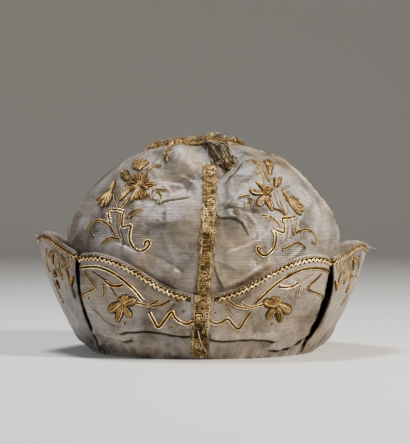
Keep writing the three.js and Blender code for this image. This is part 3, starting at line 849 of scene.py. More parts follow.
def cloth_piece(name, place, light_and_tone, columns, rows, cloth_size):
    """A wall of cloth: silk and lining, bent to where place says for shares across and up."""
    bm = bmesh.new()
    uv = bm.loops.layers.uv.new("cloth")
    # a number for each corner: the painted light and shade that the silk's colour reads
    worn = bm.verts.layers.float.new("light_and_tone")
    walls = []
    for step, lift in ((1, 0), (LINING_STEP, -CLOTH)):
        made = bmesh.ops.create_grid(bm, x_segments=columns // step, y_segments=rows // step, size=0.5,
                                     calc_uvs=True)["verts"]
        flat = np.array([vertex.co.xy for vertex in made]) + 0.5
        points, amounts = place(flat[:, 0], flat[:, 1], lift), light_and_tone(flat[:, 0], flat[:, 1])
        spots = np.rint(flat * (columns, rows)).astype(int)
        walls.append({})
        for vertex, point, amount, spot in zip(made, points, amounts, spots):
            vertex.co = point * MM
            vertex[worn] = amount
            walls[-1][tuple(spot)] = vertex
        for face in set(face for vertex in made for face in vertex.link_faces):
            face.material_index = len(walls) - 1
            for loop in face.loops:
                loop[uv].uv = (loop[uv].uv.x * cloth_size[0], loop[uv].uv.y * cloth_size[1])
    rim = [(n, 0) for n in range(columns)] + [(columns, n) for n in range(rows)]
    rim += [(n, rows) for n in range(columns, 0, -1)] + [(0, n) for n in range(rows, 0, -1)]
    for n in range(0, len(rim), LINING_STEP):
        outer = [walls[0][rim[(n + k) % len(rim)]] for k in range(LINING_STEP + 1)]
        bm.faces.new(outer + [walls[1][rim[(n + LINING_STEP) % len(rim)]], walls[1][rim[n]]])
    bmesh.ops.recalc_face_normals(bm, faces=bm.faces[:])
    made = new_object(name, smooth_mesh(bm, name, SILK, LINEN))
    print(name, len(made.data.polygons), "faces")
    return made


print("rows of silk for one of lining:", LINING_STEP)

# %% The crown's quarters
CROWN_GRIDS = {"front_right": (0, 195, 216), "back_right": (90, 99, 120),
               "back_left": (180, 99, 120), "front_left": (270, 195, 216)}  # azimuth, columns and rows
QUARTER_WIDE = 165  # of the flat cloth, for the pattern of the weave


def quarter_from(start):
    """Where the cloth of a quarter lies and how much painted light and shade it has, for shares across and
    up.
    """
    def place(across, up, lift):
        return crown_cloth(start + 90 * across, up, lift)[0]

    def light_and_tone(across, up):
        return crown_light_and_tone(start + 90 * across, up)

    return place, light_and_tone


for corner, (start, columns, rows) in CROWN_GRIDS.items():
    flat_size = (QUARTER_WIDE, CROWN_RUN)
    quarter = cloth_piece("silk_crown_" + corner, *quarter_from(start), columns, rows, flat_size)
    finish_piece(quarter, "silk", "crown_" + corner)

# %% [markdown]
# ## The brim's halves
#
# Each half of the brim runs from the front seam to the back one. The lowest rows of its grid turn under the
# crown, where the cap stands on them. Towards the edge the wall thins out. The pleats beside the wings are
# painted dark, as painted shade, so the silk is darkest there.

# %% The brim's halves
BRIM_HALVES = {"right": 0, "left": 180}  # the azimuths where they start
BRIM_GRID = (420, 105)
BRIM_CLOTH_SIZE = (400, 110)
FOOT_ROWS = 6  # of the grid's rows, so many are turned under
THIN_EDGE = {"from": 1.85, "by": 0.65}  # the share where the wall starts to thin, and how much it loses
FOOT_SUNK = 0.5  # by this share of the foot the lining lies flat under the silk
# the painted shade in the pleat beside each wing lies between these keys
PLEAT = {"mouth": 53.6, "deep": 55, "out": 61.8, "to": 62.8}  # keys of the brim's table
PLEAT_FOOT = {"key": 57, "low": 0.1, "high": 0.75, "least": 0.14}  # near the hem it is a narrow line
PLEAT_WANDER = [(0.2, 7, 0), (0.12, 19, 1)]  # sizes, rates and phases of the waves in its outline


def brim_share(up):
    """The brim's share for a share of the grid's rows, and how far a row is turned under."""
    row = up * BRIM_GRID[1] - FOOT_ROWS
    return np.maximum(EDGE_SHARE * row / (BRIM_GRID[1] - FOOT_ROWS), 0), np.maximum(-row / FOOT_ROWS, 0)


def pleat_shade(azimuth, share):
    """Painted shade: 1 deep inside the pleat beside the wing, 0 outside it. The line between them wanders a
    little.
    """
    turned = np.abs(front_azimuth(azimuth))
    for size, rate, phase in PLEAT_WANDER:
        turned = turned + size * np.sin(rate * share + phase)
    least, foot = PLEAT_FOOT["least"], PLEAT_FOOT["key"]
    open_share = least + (1 - least) * smooth_step(share, PLEAT_FOOT["low"], PLEAT_FOOT["high"])
    turned = foot + (turned - foot) / open_share
    return (smooth_step(turned, PLEAT["mouth"], PLEAT["deep"])
            * (1 - smooth_step(turned, PLEAT["out"], PLEAT["to"])))


def half_from(start):
    """Where the cloth of a half lies and how much painted light and shade it has, for shares across and up.
    """
    def place(across, up, lift):
        share, under = brim_share(up)
        lift = lift * (1 - THIN_EDGE["by"] * smooth_step(share, THIN_EDGE["from"], EDGE_SHARE))
        points, _ = brim_cloth(start + 180 * across, share, lift)
        points = points - level_out(points) * (FOOT * under)[:, None]
        points[:, 2] -= lift * smooth_step(under, 0, FOOT_SUNK)
        return points

    def light_and_tone(across, up):
        azimuth, share = start + 180 * across, brim_share(up)[0]
        # the pleat's painted shade darkens it further
        return np.clip(brim_light_and_tone(azimuth, share) - pleat_shade(azimuth, share), -1, 1)

    return place, light_and_tone


for side, start in BRIM_HALVES.items():
    half = cloth_piece("silk_brim_" + side, *half_from(start), *BRIM_GRID, BRIM_CLOTH_SIZE)
    finish_piece(half, "silk", "brim_" + side)

# %% [markdown]
# ## Metal thread
#
# All of the gold is thread: strips of gilded silver wound round a silk core, laid on the cloth and held by
# tiny stitches. There are thousands of short threads, so they are worked out as arrays and joined into one
# mesh for each piece. A thread is a ring of corners carried along its path. A ring that is wider than it is
# tall, and that grows and shrinks on the way, gives the padded petals and leaves with the same few lines.

# %% One thread


def tube(points, above, wide, tall=None, sides=6):
    """Corners, quads and UVs of one thread. above is the direction away from the cloth, at each point."""
    points = np.asarray(points, float)
    count = len(points)
    tall = wide if tall is None else tall
    heading = unit(np.gradient(points, axis=0))
    aside = unit(np.cross(heading, np.broadcast_to(above, points.shape)))
    upright = np.cross(aside, heading)
    turn = 2 * np.pi * np.arange(sides) / sides
    ring_wide = np.broadcast_to(wide, count)[:, None, None] * np.cos(turn)[None, :, None]
    ring_tall = np.broadcast_to(tall, count)[:, None, None] * np.sin(turn)[None, :, None]
    corners = points[:, None] + aside[:, None] * ring_wide + upright[:, None] * ring_tall
    ring = np.arange(sides)
    first = (np.arange(count - 1) * sides)[:, None] + ring
    second = (np.arange(count - 1) * sides)[:, None] + (ring + 1) % sides
    quads = np.stack([first, first + sides, second + sides, second], -1).reshape(-1, 4)
    ends = [(0, n, n + 1, n + 2) for n in range(1, sides - 1, 2)]
    last = (count - 1) * sides
    quads = np.vstack([quads, ends, [tuple(last + n for n in reversed(row)) for row in ends]])
    uv = stack(ring / sides * 2 * np.pi * np.max(wide), length_along(points)[:, None])
    return corners.reshape(-1, 3), quads, uv.reshape(-1, 2)


print("quads of the shortest thread:", len(tube([(0, 0, 0), (0, 1, 0)], (0, 0, 1), 0.5)[1]))

# %% Many threads, joined


class Threads:
    """Collects threads and joins them into one mesh."""

    def __init__(self):
        self.parts = []

    def add(self, points, above, wide, tall=None, *, sides=6, material):
        self.parts.append((*tube(points, above, wide, tall, sides), material))

    def build(self, name, materials):
        corners, quads, uv, finishes = zip(*self.parts)
        starts = np.r_[0, np.cumsum([len(part) for part in corners])]
        index = np.repeat([materials.index(finish) for finish in finishes], [len(part) for part in quads])
        corners = np.vstack(corners) * MM
        quads = np.vstack([part + start for part, start in zip(quads, starts)])
        mesh = bpy.data.meshes.new(name)
        mesh.vertices.add(len(corners))
        mesh.vertices.foreach_set("co", corners.ravel())
        mesh.loops.add(quads.size)
        mesh.loops.foreach_set("vertex_index", quads.ravel())
        mesh.polygons.add(len(quads))
        mesh.polygons.foreach_set("loop_start", np.arange(0, quads.size, 4))
        mesh.polygons.foreach_set("material_index", index)
        mesh.uv_layers.new(name="thread").data.foreach_set("uv", np.vstack(uv)[quads.ravel()].ravel())
        for material in materials:
            mesh.materials.append(material)
        mesh.update(calc_edges=True)
        mesh.shade_smooth()
        print(name, len(self.parts), "threads,", 2 * len(quads), "triangles")
        return new_object(name, mesh)


def cut_up(routes, *joined):
    """Cuts joined arrays up again: for each route, its part of every array."""
    cuts = np.cumsum([len(route) for route in routes])[:-1]
    return zip(*(np.split(array, cuts) for array in joined))


print("parts of an array cut up by two routes:", len(list(cut_up(["a", "bc"], np.arange(3)))))

# %% [markdown]
# ## Gold, bright and tarnished
#
# Gilded thread is metal all through, so its colour is its reflection. A wave that runs round the thread
# gives the winding of the metal strip, and noise over the whole cap mixes clean gold with brown tarnish.

# %% The gold's nodes
TARNISH_STOPS = (0.36, 0.47, 0.6)  # of the noise: dark, worn and bright
WINDING_SLANT = math.radians(28)


def gold_material(name, bright, worn, dark, roughness, pitch=0.55, groove=0.8, patch=55):
    """Metal thread. groove is how bright the winding's gaps are, and patch how small the tarnish is."""
    made, tree, shader = new_material(name)
    shader.inputs["Metallic"].default_value = 1
    shader.inputs["Roughness"].default_value = roughness
    place = node(tree, "ShaderNodeTexCoord").outputs["Object"]
    thread = node(tree, "ShaderNodeUVMap", uv_map="thread").outputs["UV"]
    tarnish = noise_over(tree, place, Scale=patch, Detail=6, Roughness=0.7)
    slanted = node(tree, "ShaderNodeMapping", Vector=thread, Rotation=(0, 0, WINDING_SLANT))
    winding = bands_over(tree, slanted.outputs["Vector"], pitch)
    colour = multiply(tree, ramp(tree, tarnish, list(zip(TARNISH_STOPS, (dark, worn, bright)))),
                      ramp(tree, winding, [(0.05, (groove, groove, groove)), (0.5, WHITE)]))
    feed(tree, shader, Base_Color=colour, Normal=bumps(tree, winding, Strength=0.6, Distance=0.0002))
    return made


BRIGHT = gold_material("bright gold cord", (1, 0.78, 0.4), (0.92, 0.64, 0.26), (0.55, 0.33, 0.1), 0.25,
                       pitch=1.3)
DULL = gold_material("dull gold cord", (0.7, 0.5, 0.24), (0.45, 0.29, 0.11), (0.2, 0.12, 0.05), 0.34)
LACE_GOLD = gold_material("lace gold", (0.8, 0.58, 0.28), (0.45, 0.3, 0.12), (0.14, 0.09, 0.04), 0.32,
                          patch=90)
LACE_SHADE = gold_material("shaded lace", (0.2, 0.13, 0.055), (0.11, 0.07, 0.03), (0.05, 0.03, 0.015), 0.45)
PADDED = gold_material("padded gold", (0.62, 0.38, 0.11), (0.4, 0.23, 0.06), (0.14, 0.075, 0.025), 0.34,
                       groove=0.5)
# near-black gold that stands for shade: between couched cords and plies, under petals and the zigzag, among
# the tassel's threads
SHADE_CORD = gold_material("painted shade cord", (0.07, 0.045, 0.022), (0.04, 0.026, 0.013),
                          (0.02, 0.013, 0.007), 0.5)
TARNISHED = gold_material("tarnished thread", (0.46, 0.39, 0.29), (0.26, 0.22, 0.16),
                          (0.1, 0.08, 0.055), 0.4)
FRAYED_SILK = plain_material("frayed silk", (0.4, 0.34, 0.26), 0.6)
print("materials so far:", len(bpy.data.materials))

# %% [markdown]
# ## Lace over the seams
#
# Each seam is hidden under a narrow gold lace: two edge cords with small picot loops, bars across, and
# rings strewn all over, on a padding of dark cord, which is painted shade under the lace. Some stitches are
# in the shaded lace gold, as painted shade, and some in bright gold, as painted glints. Over the top it is
# bunched up in a heap, so several padding cords fill it from below, and loops and loose ends stand up from
# it. A strip says where a place on the lace lies on the cap, so one function can work the lace on the
# crown, on the brim and over the top.

# %% Strips of lace and where they lie
CROWN_LACE_WIDE, BRIM_LACE_WIDE, TAIL_WIDE = 12, 15, 5
SEAM_LACE_FOOT, SIDE_LACE_FOOT, BRIM_LACE_FOOT = 40, 60, 3  # heights
TUCKED = (161, 167)  # heights; the front lace slips under the silk there, below the puff and the tassel
TOP_LACE = {"left": -50, "right": 36, "half": 7, "end_taper": 0.35, "taper_over": 12}
LACE_HEAP = {"x": [-50, -20, 4, 25, 36], "rise": [4, 6, 8, 5, 1.2], "edge_drop": 0.92}
BESIDE_TOP_LACE = 11.2  # the crown's half width where the front and the back lace stop
TOP_LACE_CLEAR = 2  # the side laces stop so far from the ends of the top lace
TAIL = {"start": (-20, -7.5), "end": (-31, -57), "lift": 0.6}
WIDEST = int(np.argmax(fine_width))


def flat_strip(along, across):
    """How high the lace is heaped on a strip that lies flat."""
    return 0 * along


def share_at_half_width(half_width):
    """The share above the widest place where the dome is so wide."""
    return np.interp(-half_width, -fine_width[WIDEST:], fine_run[WIDEST:]) / CROWN_RUN


def seam_strip(seam, foot, top_half_width, tuck=0):
    """Lace up one seam of the crown: its length, the place of a point along and across it, and its heap."""
    low, high = share_at_height(foot), share_at_half_width(top_half_width)
    narrow = 1 if seam in (0, 180) else DEPTH_RATIO_HEM

    def place(along, across, lift):
        share = low + along / CROWN_RUN
        sunk = tuck * smooth_step(crown_height(share), *TUCKED)
        return crown_cloth(seam + np.degrees(across / crown_half_width(share) / narrow), share, lift - sunk)

    return (high - low) * CROWN_RUN, place, flat_strip


def brim_strip(seam):
    """Lace up one seam of the brim, from just above the table to the edge."""
    edge = BRIM_SECTIONS[0, BRIM_COLUMNS.index("edge")]

    def place(along, across, lift):
        height = BRIM_LACE_FOOT + along
        share = np.where(height < BAND, height / BAND, 1 + (height - BAND) / (edge - BAND))
        wide = crown_half_width(share_at_height(np.maximum(height, BRIM_LACE_FOOT))) + CLOTH
        return brim_cloth(seam + np.degrees(across / wide), share, lift)

    return edge - BRIM_LACE_FOOT, place, flat_strip


def over_top(x, y, lift):
    """The crown over a place of the plan, for what lies on top."""
    share = share_at_half_width(np.hypot(x, y / DEPTH_RATIO_TOP))
    lean = np.degrees(SEAM_LEAN * (crown_height(share) - LEAN_LEVEL))
    return crown_cloth(np.degrees(np.arctan2(x, -y / DEPTH_RATIO_TOP)) - lean, share, lift)


def top_strip():
    """The lace over the top is bunched up, most of all in the middle."""
    length = TOP_LACE["right"] - TOP_LACE["left"]

    def heap(along, across):
        rise = smooth_read(LACE_HEAP["x"], LACE_HEAP["rise"], TOP_LACE["left"] + along)
        return rise * (1 - LACE_HEAP["edge_drop"] * (across / TOP_LACE["half"]) ** 2)

    def place(along, across, lift):
        ends = bump(along / TOP_LACE["taper_over"]) + bump((length - along) / TOP_LACE["taper_over"])
        across_top = across * (1 - TOP_LACE["end_taper"] * ends)
        return over_top(TOP_LACE["left"] + along, across_top, lift + heap(along, across))

    return length, place, heap


def tail_strip():
    """The loose end that hangs beside the front."""
    start, end = np.array(TAIL["start"]), np.array(TAIL["end"])
    length = np.linalg.norm(end - start)
    way = (end - start) / length

    def place(along, across, lift):
        return over_top(start[0] + way[0] * along - way[1] * across,
                        start[1] + way[1] * along + way[0] * across, lift + TAIL["lift"])

    return length, place, flat_strip


print("front lace:", round(seam_strip(0, SEAM_LACE_FOOT, BESIDE_TOP_LACE)[0]), "mm long")

# %% The stitches of the lace
# Each stitch is places along, across and above the strip, then a thickness, sides and a material.
EDGE_CORD = {"inset": 1.7, "thick": 0.45, "step": 1.6, "lift": 0.7, "wobbles": [(0.35, 0.9), (0.3, 2.3)]}
PICOT = {"step": 2.5, "along": 1.2, "out": 0.3, "lift": 0.5, "thick": 0.28, "points": 8}
PICOT_REACH, PICOT_UNEVEN = 1.7, (0.4, 1.4)
PICOT_SWEEP = 0.65 * np.pi  # to either side of its outermost point
BAR = {"step": 2.1, "bow": 1.2, "lift": 0.45, "hump": 0.35, "humps": 1.4, "thick": 0.3, "points": 8}
BAR_CURVES, BAR_UNEVEN = (1, 3), (0.8, 1.3)
RING = {"each_mm": 1.3, "radius": 1.6, "lift": 0.6, "thick": 0.3, "points": 10}
RING_LONG, RING_SHORT, RING_RAISED = (0.7, 1.3), (0.5, 0.9), (0, 0.4)
RING_TILTS = {"flat": (0, 0.35), "standing": (0.7, 1.5)}
RING_CROWDED, RING_THINNED = 0.25, 0.15  # more and finer rings for each millimetre that the lace stands up
STRAY = {"each_mm": 0.17, "along": 7, "across": 4, "rise": 4, "wave": 1.2, "lift": 0.6, "thick": 0.17}
STRAY_WAVES, STRAY_ARCH, STRAY_POINTS = 5, 2.4, 9  # the first two in radians over its length
LACE_JITTER = 0.5
ANY_PHASE = (0, 6)


def edge_stitches(draw, length, half, stand):
    """The two edge cords, each with its picots."""
    steps = np.linspace(0, length, int(length / EDGE_CORD["step"]) + 2)
    angle = np.linspace(-PICOT_SWEEP, PICOT_SWEEP, PICOT["points"])
    arch = (1 + np.cos(angle)) / 2
    for edge in (-1, 1):
        wobble = 0 * steps
        for size, rate in EDGE_CORD["wobbles"]:
            wobble = wobble + size * np.sin(steps * rate + draw.uniform(*ANY_PHASE))
        yield steps, edge * (half + wobble), EDGE_CORD["lift"] + 0 * steps, EDGE_CORD["thick"], 6, LACE_GOLD
        for centre in np.arange(PICOT["step"] / 2, length, PICOT["step"]):
            reach = PICOT_REACH * draw.uniform(*PICOT_UNEVEN)
            along = centre + draw.uniform(-1, 1) * LACE_JITTER + PICOT["along"] * np.sin(angle)
            across = edge * (half + PICOT["out"] + reach * arch)
            lift = PICOT["lift"] + stand * draw.uniform(0, 1) * arch
            # a shaded picot is painted shade
            yield along, across, lift, PICOT["thick"], 4, draw.choice((LACE_GOLD, LACE_GOLD, LACE_SHADE))


def bar_stitches(draw, length, half):
    """Bars across, each bowed and humped in its own way."""
    across = np.linspace(-half, half, BAR["points"])
    for centre in np.arange(BAR["step"] / 2, length, BAR["step"]):
        bow = draw.uniform(-BAR["bow"], BAR["bow"]) * np.cos(across / half * draw.uniform(*BAR_CURVES))
        along = centre + bow + draw.uniform(-1, 1) * LACE_JITTER
        hump = np.abs(np.sin(across * BAR["humps"] + draw.uniform(*ANY_PHASE)))
        thick = BAR["thick"] * draw.uniform(*BAR_UNEVEN)
        # a shaded bar is painted shade and a bright one a painted glint
        shade = draw.choice((LACE_GOLD, LACE_GOLD, LACE_SHADE, BRIGHT))
        yield along, across, BAR["lift"] + BAR["hump"] * hump, thick, 4, shade


def ring_stitches(draw, length, half, stand):
    """Small loops: flat on the cloth at a tilt of 0, upright at a quarter turn."""
    angle = np.linspace(0, 2 * np.pi, RING["points"])
    tilts = RING_TILTS["standing" if stand else "flat"]
    thick = RING["thick"] / (1 + RING_THINNED * stand)
    for _ in range(int(length * RING["each_mm"] * (1 + RING_CROWDED * stand))):
        along, across = draw.uniform(0, length), draw.uniform(-half, half)
        tilt = draw.uniform(*tilts)
        lift = RING["lift"] + draw.uniform(*RING_RAISED) + stand * draw.uniform(0, 1)
        turn = draw.uniform(0, np.pi)
        long = RING["radius"] * draw.uniform(*RING_LONG) * np.cos(angle)
        short = RING["radius"] * draw.uniform(*RING_SHORT) * np.sin(angle)
        flat = short * np.cos(tilt)
        along = along + long * np.cos(turn) - flat * np.sin(turn)
        across = across + long * np.sin(turn) + flat * np.cos(turn)
        lift = lift + (short - short.min()) * np.sin(tilt)
        # a shaded ring is painted shade and a bright one a painted glint
        shade = draw.choice((LACE_GOLD, LACE_GOLD, LACE_SHADE, LACE_SHADE, BRIGHT))
        yield along, across, lift, thick, 4, shade


def stray_stitches(draw, length, half, stand):
    """Loose ends, where the lace stands up."""
    t = np.linspace(0, 1, STRAY_POINTS)
    for _ in range(int(length * STRAY["each_mm"] * stand)):
        along = draw.uniform(0, length) + draw.uniform(-STRAY["along"], STRAY["along"]) * t
        along = along + STRAY["wave"] * np.sin(STRAY_WAVES * t + draw.uniform(*ANY_PHASE))
        across = draw.uniform(-half, half) + draw.uniform(-STRAY["across"], STRAY["across"]) * t
        lift = STRAY["lift"] + stand * t + draw.uniform(0, STRAY["rise"]) * np.sin(STRAY_ARCH * t)
        yield along, across, lift, STRAY["thick"], 4, LACE_GOLD


print("stitches of a lace: edges, bars, rings and strays")

# %% Working the lace
# the padding is in shaded lace gold, as painted shade under the lace
PADDING = {"rods": 5, "step": 3, "lift": 0.2, "tall": 0.3, "stand": 0.2, "overlap": 1.05}
LACE_ROWS = [  # the name, the strip, its width, the solid it stands for and how far its loops rise
    ("lace_front", seam_strip(0, SEAM_LACE_FOOT, BESIDE_TOP_LACE, tuck=1.6), CROWN_LACE_WIDE,
     "lace_crown_front", 0),
    ("lace_back", seam_strip(180, SEAM_LACE_FOOT, BESIDE_TOP_LACE), CROWN_LACE_WIDE, "lace_crown_back", 0),
    ("lace_right", seam_strip(90, SIDE_LACE_FOOT, TOP_LACE["right"] + TOP_LACE_CLEAR), CROWN_LACE_WIDE,
     "lace_crown_right", 0),
    ("lace_left", seam_strip(270, SIDE_LACE_FOOT, TOP_LACE_CLEAR - TOP_LACE["left"]), CROWN_LACE_WIDE,
     "lace_crown_left", 0),
    ("lace_brim_at_front", brim_strip(0), BRIM_LACE_WIDE, "lace_brim_front", 0),
    ("lace_brim_at_back", brim_strip(180), BRIM_LACE_WIDE, "lace_brim_back", 0),
    ("lace_top", top_strip(), 2 * TOP_LACE["half"], "lace_crown_top", 2.4),
    ("lace_loose_end", tail_strip(), TAIL_WIDE, "lace_tail", 0.8),
]


def work_lace(name, strip, wide, solid, stand, seed):
    """One length of lace. stand is how far its loops rise above the cloth."""
    length, place, heap = strip
    draw = random.Random(seed)
    half = wide / 2 - EDGE_CORD["inset"]
    stitches = [*edge_stitches(draw, length, half, stand), *bar_stitches(draw, length, half),
                *ring_stitches(draw, length, half, stand), *stray_stitches(draw, length, half, stand)]
    along, across, lift, thick, sides, shade = zip(*stitches)
    points, above = place(np.clip(np.concatenate(along), 0, length),
                          np.concatenate(across), np.concatenate(lift))
    threads = Threads()
    for n, (laid, up) in enumerate(cut_up(along, points, above)):
        threads.add(laid, up, thick[n], sides=sides[n], material=shade[n])
    under = np.linspace(0, length, int(length / PADDING["step"]) + 2)
    rods = PADDING["rods"] if heap(under, 0).any() else 1  # a flat lace lies on one
    raised = PADDING["stand"] * stand
    for across in (np.arange(rods) - (rods - 1) / 2) * 2 * half / rods:
        core = heap(under, across) / 2
        points, above = place(under, across + 0 * under, PADDING["lift"] + raised - core)
        threads.add(points, above, PADDING["overlap"] * half / rods, PADDING["tall"] + raised + core,
                    sides=8, material=LACE_SHADE)
    finish_piece(threads.build(name, [LACE_GOLD, LACE_SHADE, BRIGHT]), "gold_lace", solid)


for seed, row in enumerate(LACE_ROWS):
    work_lace(*row, seed)

# %% [markdown]
# ## Braid along the scalloped edge
#
# A narrow margin of silk stays bare. Below it lies a cord of a gold ply and a near-black one, twisted
# together, and below that a bright metal strip that runs in a zigzag over a near-black cord. The near-black
# ply and cord are painted shade in the gaps. On the wings the strip is dull gold, as painted shade. Evenly
# spaced azimuths would crowd the stitches in the pleats, so the steps are measured along the edge itself.

# %% The edge braid
CORD = {"drop": 2.7, "lift": 0.75, "twist": 0.36, "ply": 0.4, "lay": 3.6, "step": 0.8}
UNDER_CORD = {"drop": 5.2, "lift": 0.4, "wide": 1.5, "tall": 0.35}
ZIGZAG = {"pitch": 4.3, "top": 4.1, "low": 6.5, "lift": 0.8, "wide": 0.8, "tall": 0.5, "steps": 8}
BRAID_START = 4.6  # degrees from the seam, at the side of the brim's lace
# past this azimuth the zigzag is dull gold, as painted shade on the wings
WING_SHADE_FROM = 60
EDGE_POINTS = 1200


def along_edge(azimuth, drop, lift):
    """A place so far below the scalloped edge, measured down the wall."""
    return brim_cloth(azimuth, EDGE_SHARE - drop / (edge_height(front_azimuth(azimuth)) - BAND), lift)


def even_azimuths(start, end, step):
    """Azimuths that are evenly spaced along the edge itself, which bends in and out, and how far along."""
    rough = np.linspace(start, end, EDGE_POINTS)
    length = length_along(along_edge(rough, CORD["drop"], 0)[0])
    even = np.linspace(0, length[-1], int(length[-1] / step))
    return np.interp(even, length, rough), even


def braid_half(start):
    """The threads of the braid on one half of the brim."""
    threads = Threads()
    azimuth, length = even_azimuths(start + BRAID_START, start + 180 - BRAID_START, CORD["step"])
    # the near-black ply is painted shade between the turns of the gold one
    for ply, phase in ((DULL, 0), (SHADE_CORD, np.pi)):
        turn = 2 * np.pi * length / CORD["lay"] + phase
        points, above = along_edge(azimuth, CORD["drop"] + CORD["twist"] * np.cos(turn),
                                   CORD["lift"] + CORD["twist"] * np.sin(turn))
        threads.add(points, above, CORD["ply"], material=ply)
    # the near-black cord under the zigzag is painted shade between its teeth
    points, above = along_edge(azimuth, UNDER_CORD["drop"], UNDER_CORD["lift"])
    threads.add(points, above, UNDER_CORD["wide"], UNDER_CORD["tall"], material=SHADE_CORD)
    run = np.arange(ZIGZAG["pitch"], length[-1] - ZIGZAG["pitch"], ZIGZAG["pitch"] / ZIGZAG["steps"])
    swing = np.abs(2 * (run / ZIGZAG["pitch"] % 1) - 1)
    at = np.interp(run, length, azimuth)
    drop = ZIGZAG["top"] + (ZIGZAG["low"] - ZIGZAG["top"]) * swing
    points, above = along_edge(at, drop, ZIGZAG["lift"])
    # on the wings the zigzag is dull gold, as painted shade
    on_wing = np.abs(front_azimuth(at)) > WING_SHADE_FROM
    for stretch in np.split(np.arange(len(run)), np.flatnonzero(np.diff(on_wing)) + 1):
        threads.add(points[stretch], above[stretch], ZIGZAG["wide"], ZIGZAG["tall"],
                    material=DULL if on_wing[stretch[0]] else BRIGHT)
    return threads


for side, start in BRIM_HALVES.items():
    made = braid_half(start).build("edge_braid_" + side, [BRIGHT, DULL, SHADE_CORD])
    finish_piece(made, "bright_gold", "braid_" + side)

# %% [markdown]
# ## The tassel
#
# A tassel of tarnished threads spills from under the top lace. Each of its threads is a loop: it leaves the
# knot, runs over the cloth to the fringe, turns round and comes a little way back. On one side of the fan
# some threads still show their gold. Near-black threads among the tarnished ones are painted shade between
# them, and there are most of them on the other side of the fan.

# %% The tassel
TASSEL = {"x": 3, "y": -18, "threads": 120, "thick": 0.36, "lift": 0.6, "seed": 21}
TASSEL_FAN = [(8, -56), (20, -60), (26, -47)]  # where the first, a middle and the last thread end
FAN_SHARES = (0, 0.5, 1)
GOLDEN_FROM = 0.55  # the share of the fan past which gold threads are among the tarnished ones
# near-black cords and shaded lace gold among the threads are painted shade; the side of the fan without
# gold has the most
GOLDEN_SHADES = (TARNISHED, SHADE_CORD, LACE_SHADE)
DARK_SHADES = (TARNISHED, SHADE_CORD, SHADE_CORD, SHADE_CORD)
ROOT_SPREAD, END_SPREAD = (4, 3), 2.2
SWAY, RIPPLE = 2.5, 0.8
FAN_POINTS = 15
FAN_LIFT = {"least": 0.4, "most": 5, "held": 0.25, "from": 0.1, "over": 0.7}  # up and down like a wave
LOOP = {"turn": 1.5 * np.pi, "points": 7, "radius": (0.9, 1.6)}
KNOT = {"turns": 6, "points": 150, "reach": 4.4, "flat": 0.7, "lift": 1, "rise": 2, "thick": 0.7}


def tassel_thread(draw):
    """One looped thread, as places of the plan and heights above the cloth, and its share of the fan."""
    fan = draw.uniform(0, 1)
    end = np.array([np.interp(fan, FAN_SHARES, column) for column in zip(*TASSEL_FAN)])
    end = end + (draw.gauss(0, END_SPREAD), draw.gauss(0, END_SPREAD))
    root = np.array([TASSEL[axis] + draw.uniform(-by, by) for axis, by in zip("xy", ROOT_SPREAD)])
    t = np.linspace(0, 1, FAN_POINTS)
    way = end - root
    ahead = way / np.linalg.norm(way)
    aside = np.array((-way[1], way[0])) / np.linalg.norm(way)
    sway = draw.gauss(0, SWAY) * np.sin(np.pi * t) + draw.gauss(0, RIPPLE) * np.sin(3 * np.pi * t)
    path = root + t[:, None] * way + sway[:, None] * aside
    angle = np.linspace(0, LOOP["turn"], LOOP["points"] + 1)[1:]
    bend = draw.uniform(*LOOP["radius"])
    loop = path[-1] + bend * (np.sin(angle)[:, None] * ahead + (1 - np.cos(angle))[:, None] * aside)
    wave = np.sin(np.pi * (FAN_LIFT["from"] + FAN_LIFT["over"] * t))
    held = FAN_LIFT["held"]
    lift = draw.uniform(FAN_LIFT["least"], FAN_LIFT["most"]) * (held + (1 - held) * wave)
    lift = np.r_[lift, np.full(len(angle), lift[-1])] + TASSEL["lift"]
    return np.vstack([path, loop]), lift, fan


draw = random.Random(TASSEL["seed"])
paths, lifts, fans = zip(*[tassel_thread(draw) for _ in range(TASSEL["threads"])])
points, above = over_top(*np.concatenate(paths).T, np.concatenate(lifts))
threads = Threads()
for fan, (laid, up) in zip(fans, cut_up(paths, points, above)):
    shade = draw.choice(GOLDEN_SHADES if fan > GOLDEN_FROM else DARK_SHADES)
    threads.add(laid, up, TASSEL["thick"], sides=4, material=shade)
knot_turn = np.linspace(0, 2 * np.pi * KNOT["turns"], KNOT["points"])
knot_reach = KNOT["reach"] * np.sqrt(np.linspace(0.1, 1, KNOT["points"]))
knot_lift = KNOT["lift"] + KNOT["rise"] * np.sqrt(np.linspace(1, 0.02, KNOT["points"]))
knot, above = over_top(TASSEL["x"] + knot_reach * np.cos(knot_turn),
                       TASSEL["y"] + KNOT["flat"] * knot_reach * np.sin(knot_turn), knot_lift)
threads.add(knot, above, KNOT["thick"], material=TARNISHED)
made = threads.build("tassel_threads", [TARNISHED, SHADE_CORD, LACE_SHADE])
finish_piece(made, "tarnished_thread", "tassel")

# %% [markdown]
# ## Gold embroidery
#
# A flowering sprig is worked on each quarter of the crown, and a border of arcs, flowers and zigzags on
# each quarter of the brim. Three stitches make all of it. A couched line is a pair of bright cords with a
# near-black one sunk between them, which is painted shade in the gap. A petal is padded from below, covered
# with long stitches and edged with a cord; pad and edge are near-black, as painted shade between the
# stitches and round the petal. A stem is a thin gold thread beside a near-black one, its painted shadow.
# The strokes were measured in the photograph. The two sprigs differ, so each has its own. The border was
# measured on the left, and its right half is the mirror image, apart from a flatter zigzag and cords in
# dull gold, as painted shade where their highlights are weaker. The unseen back repeats the front.

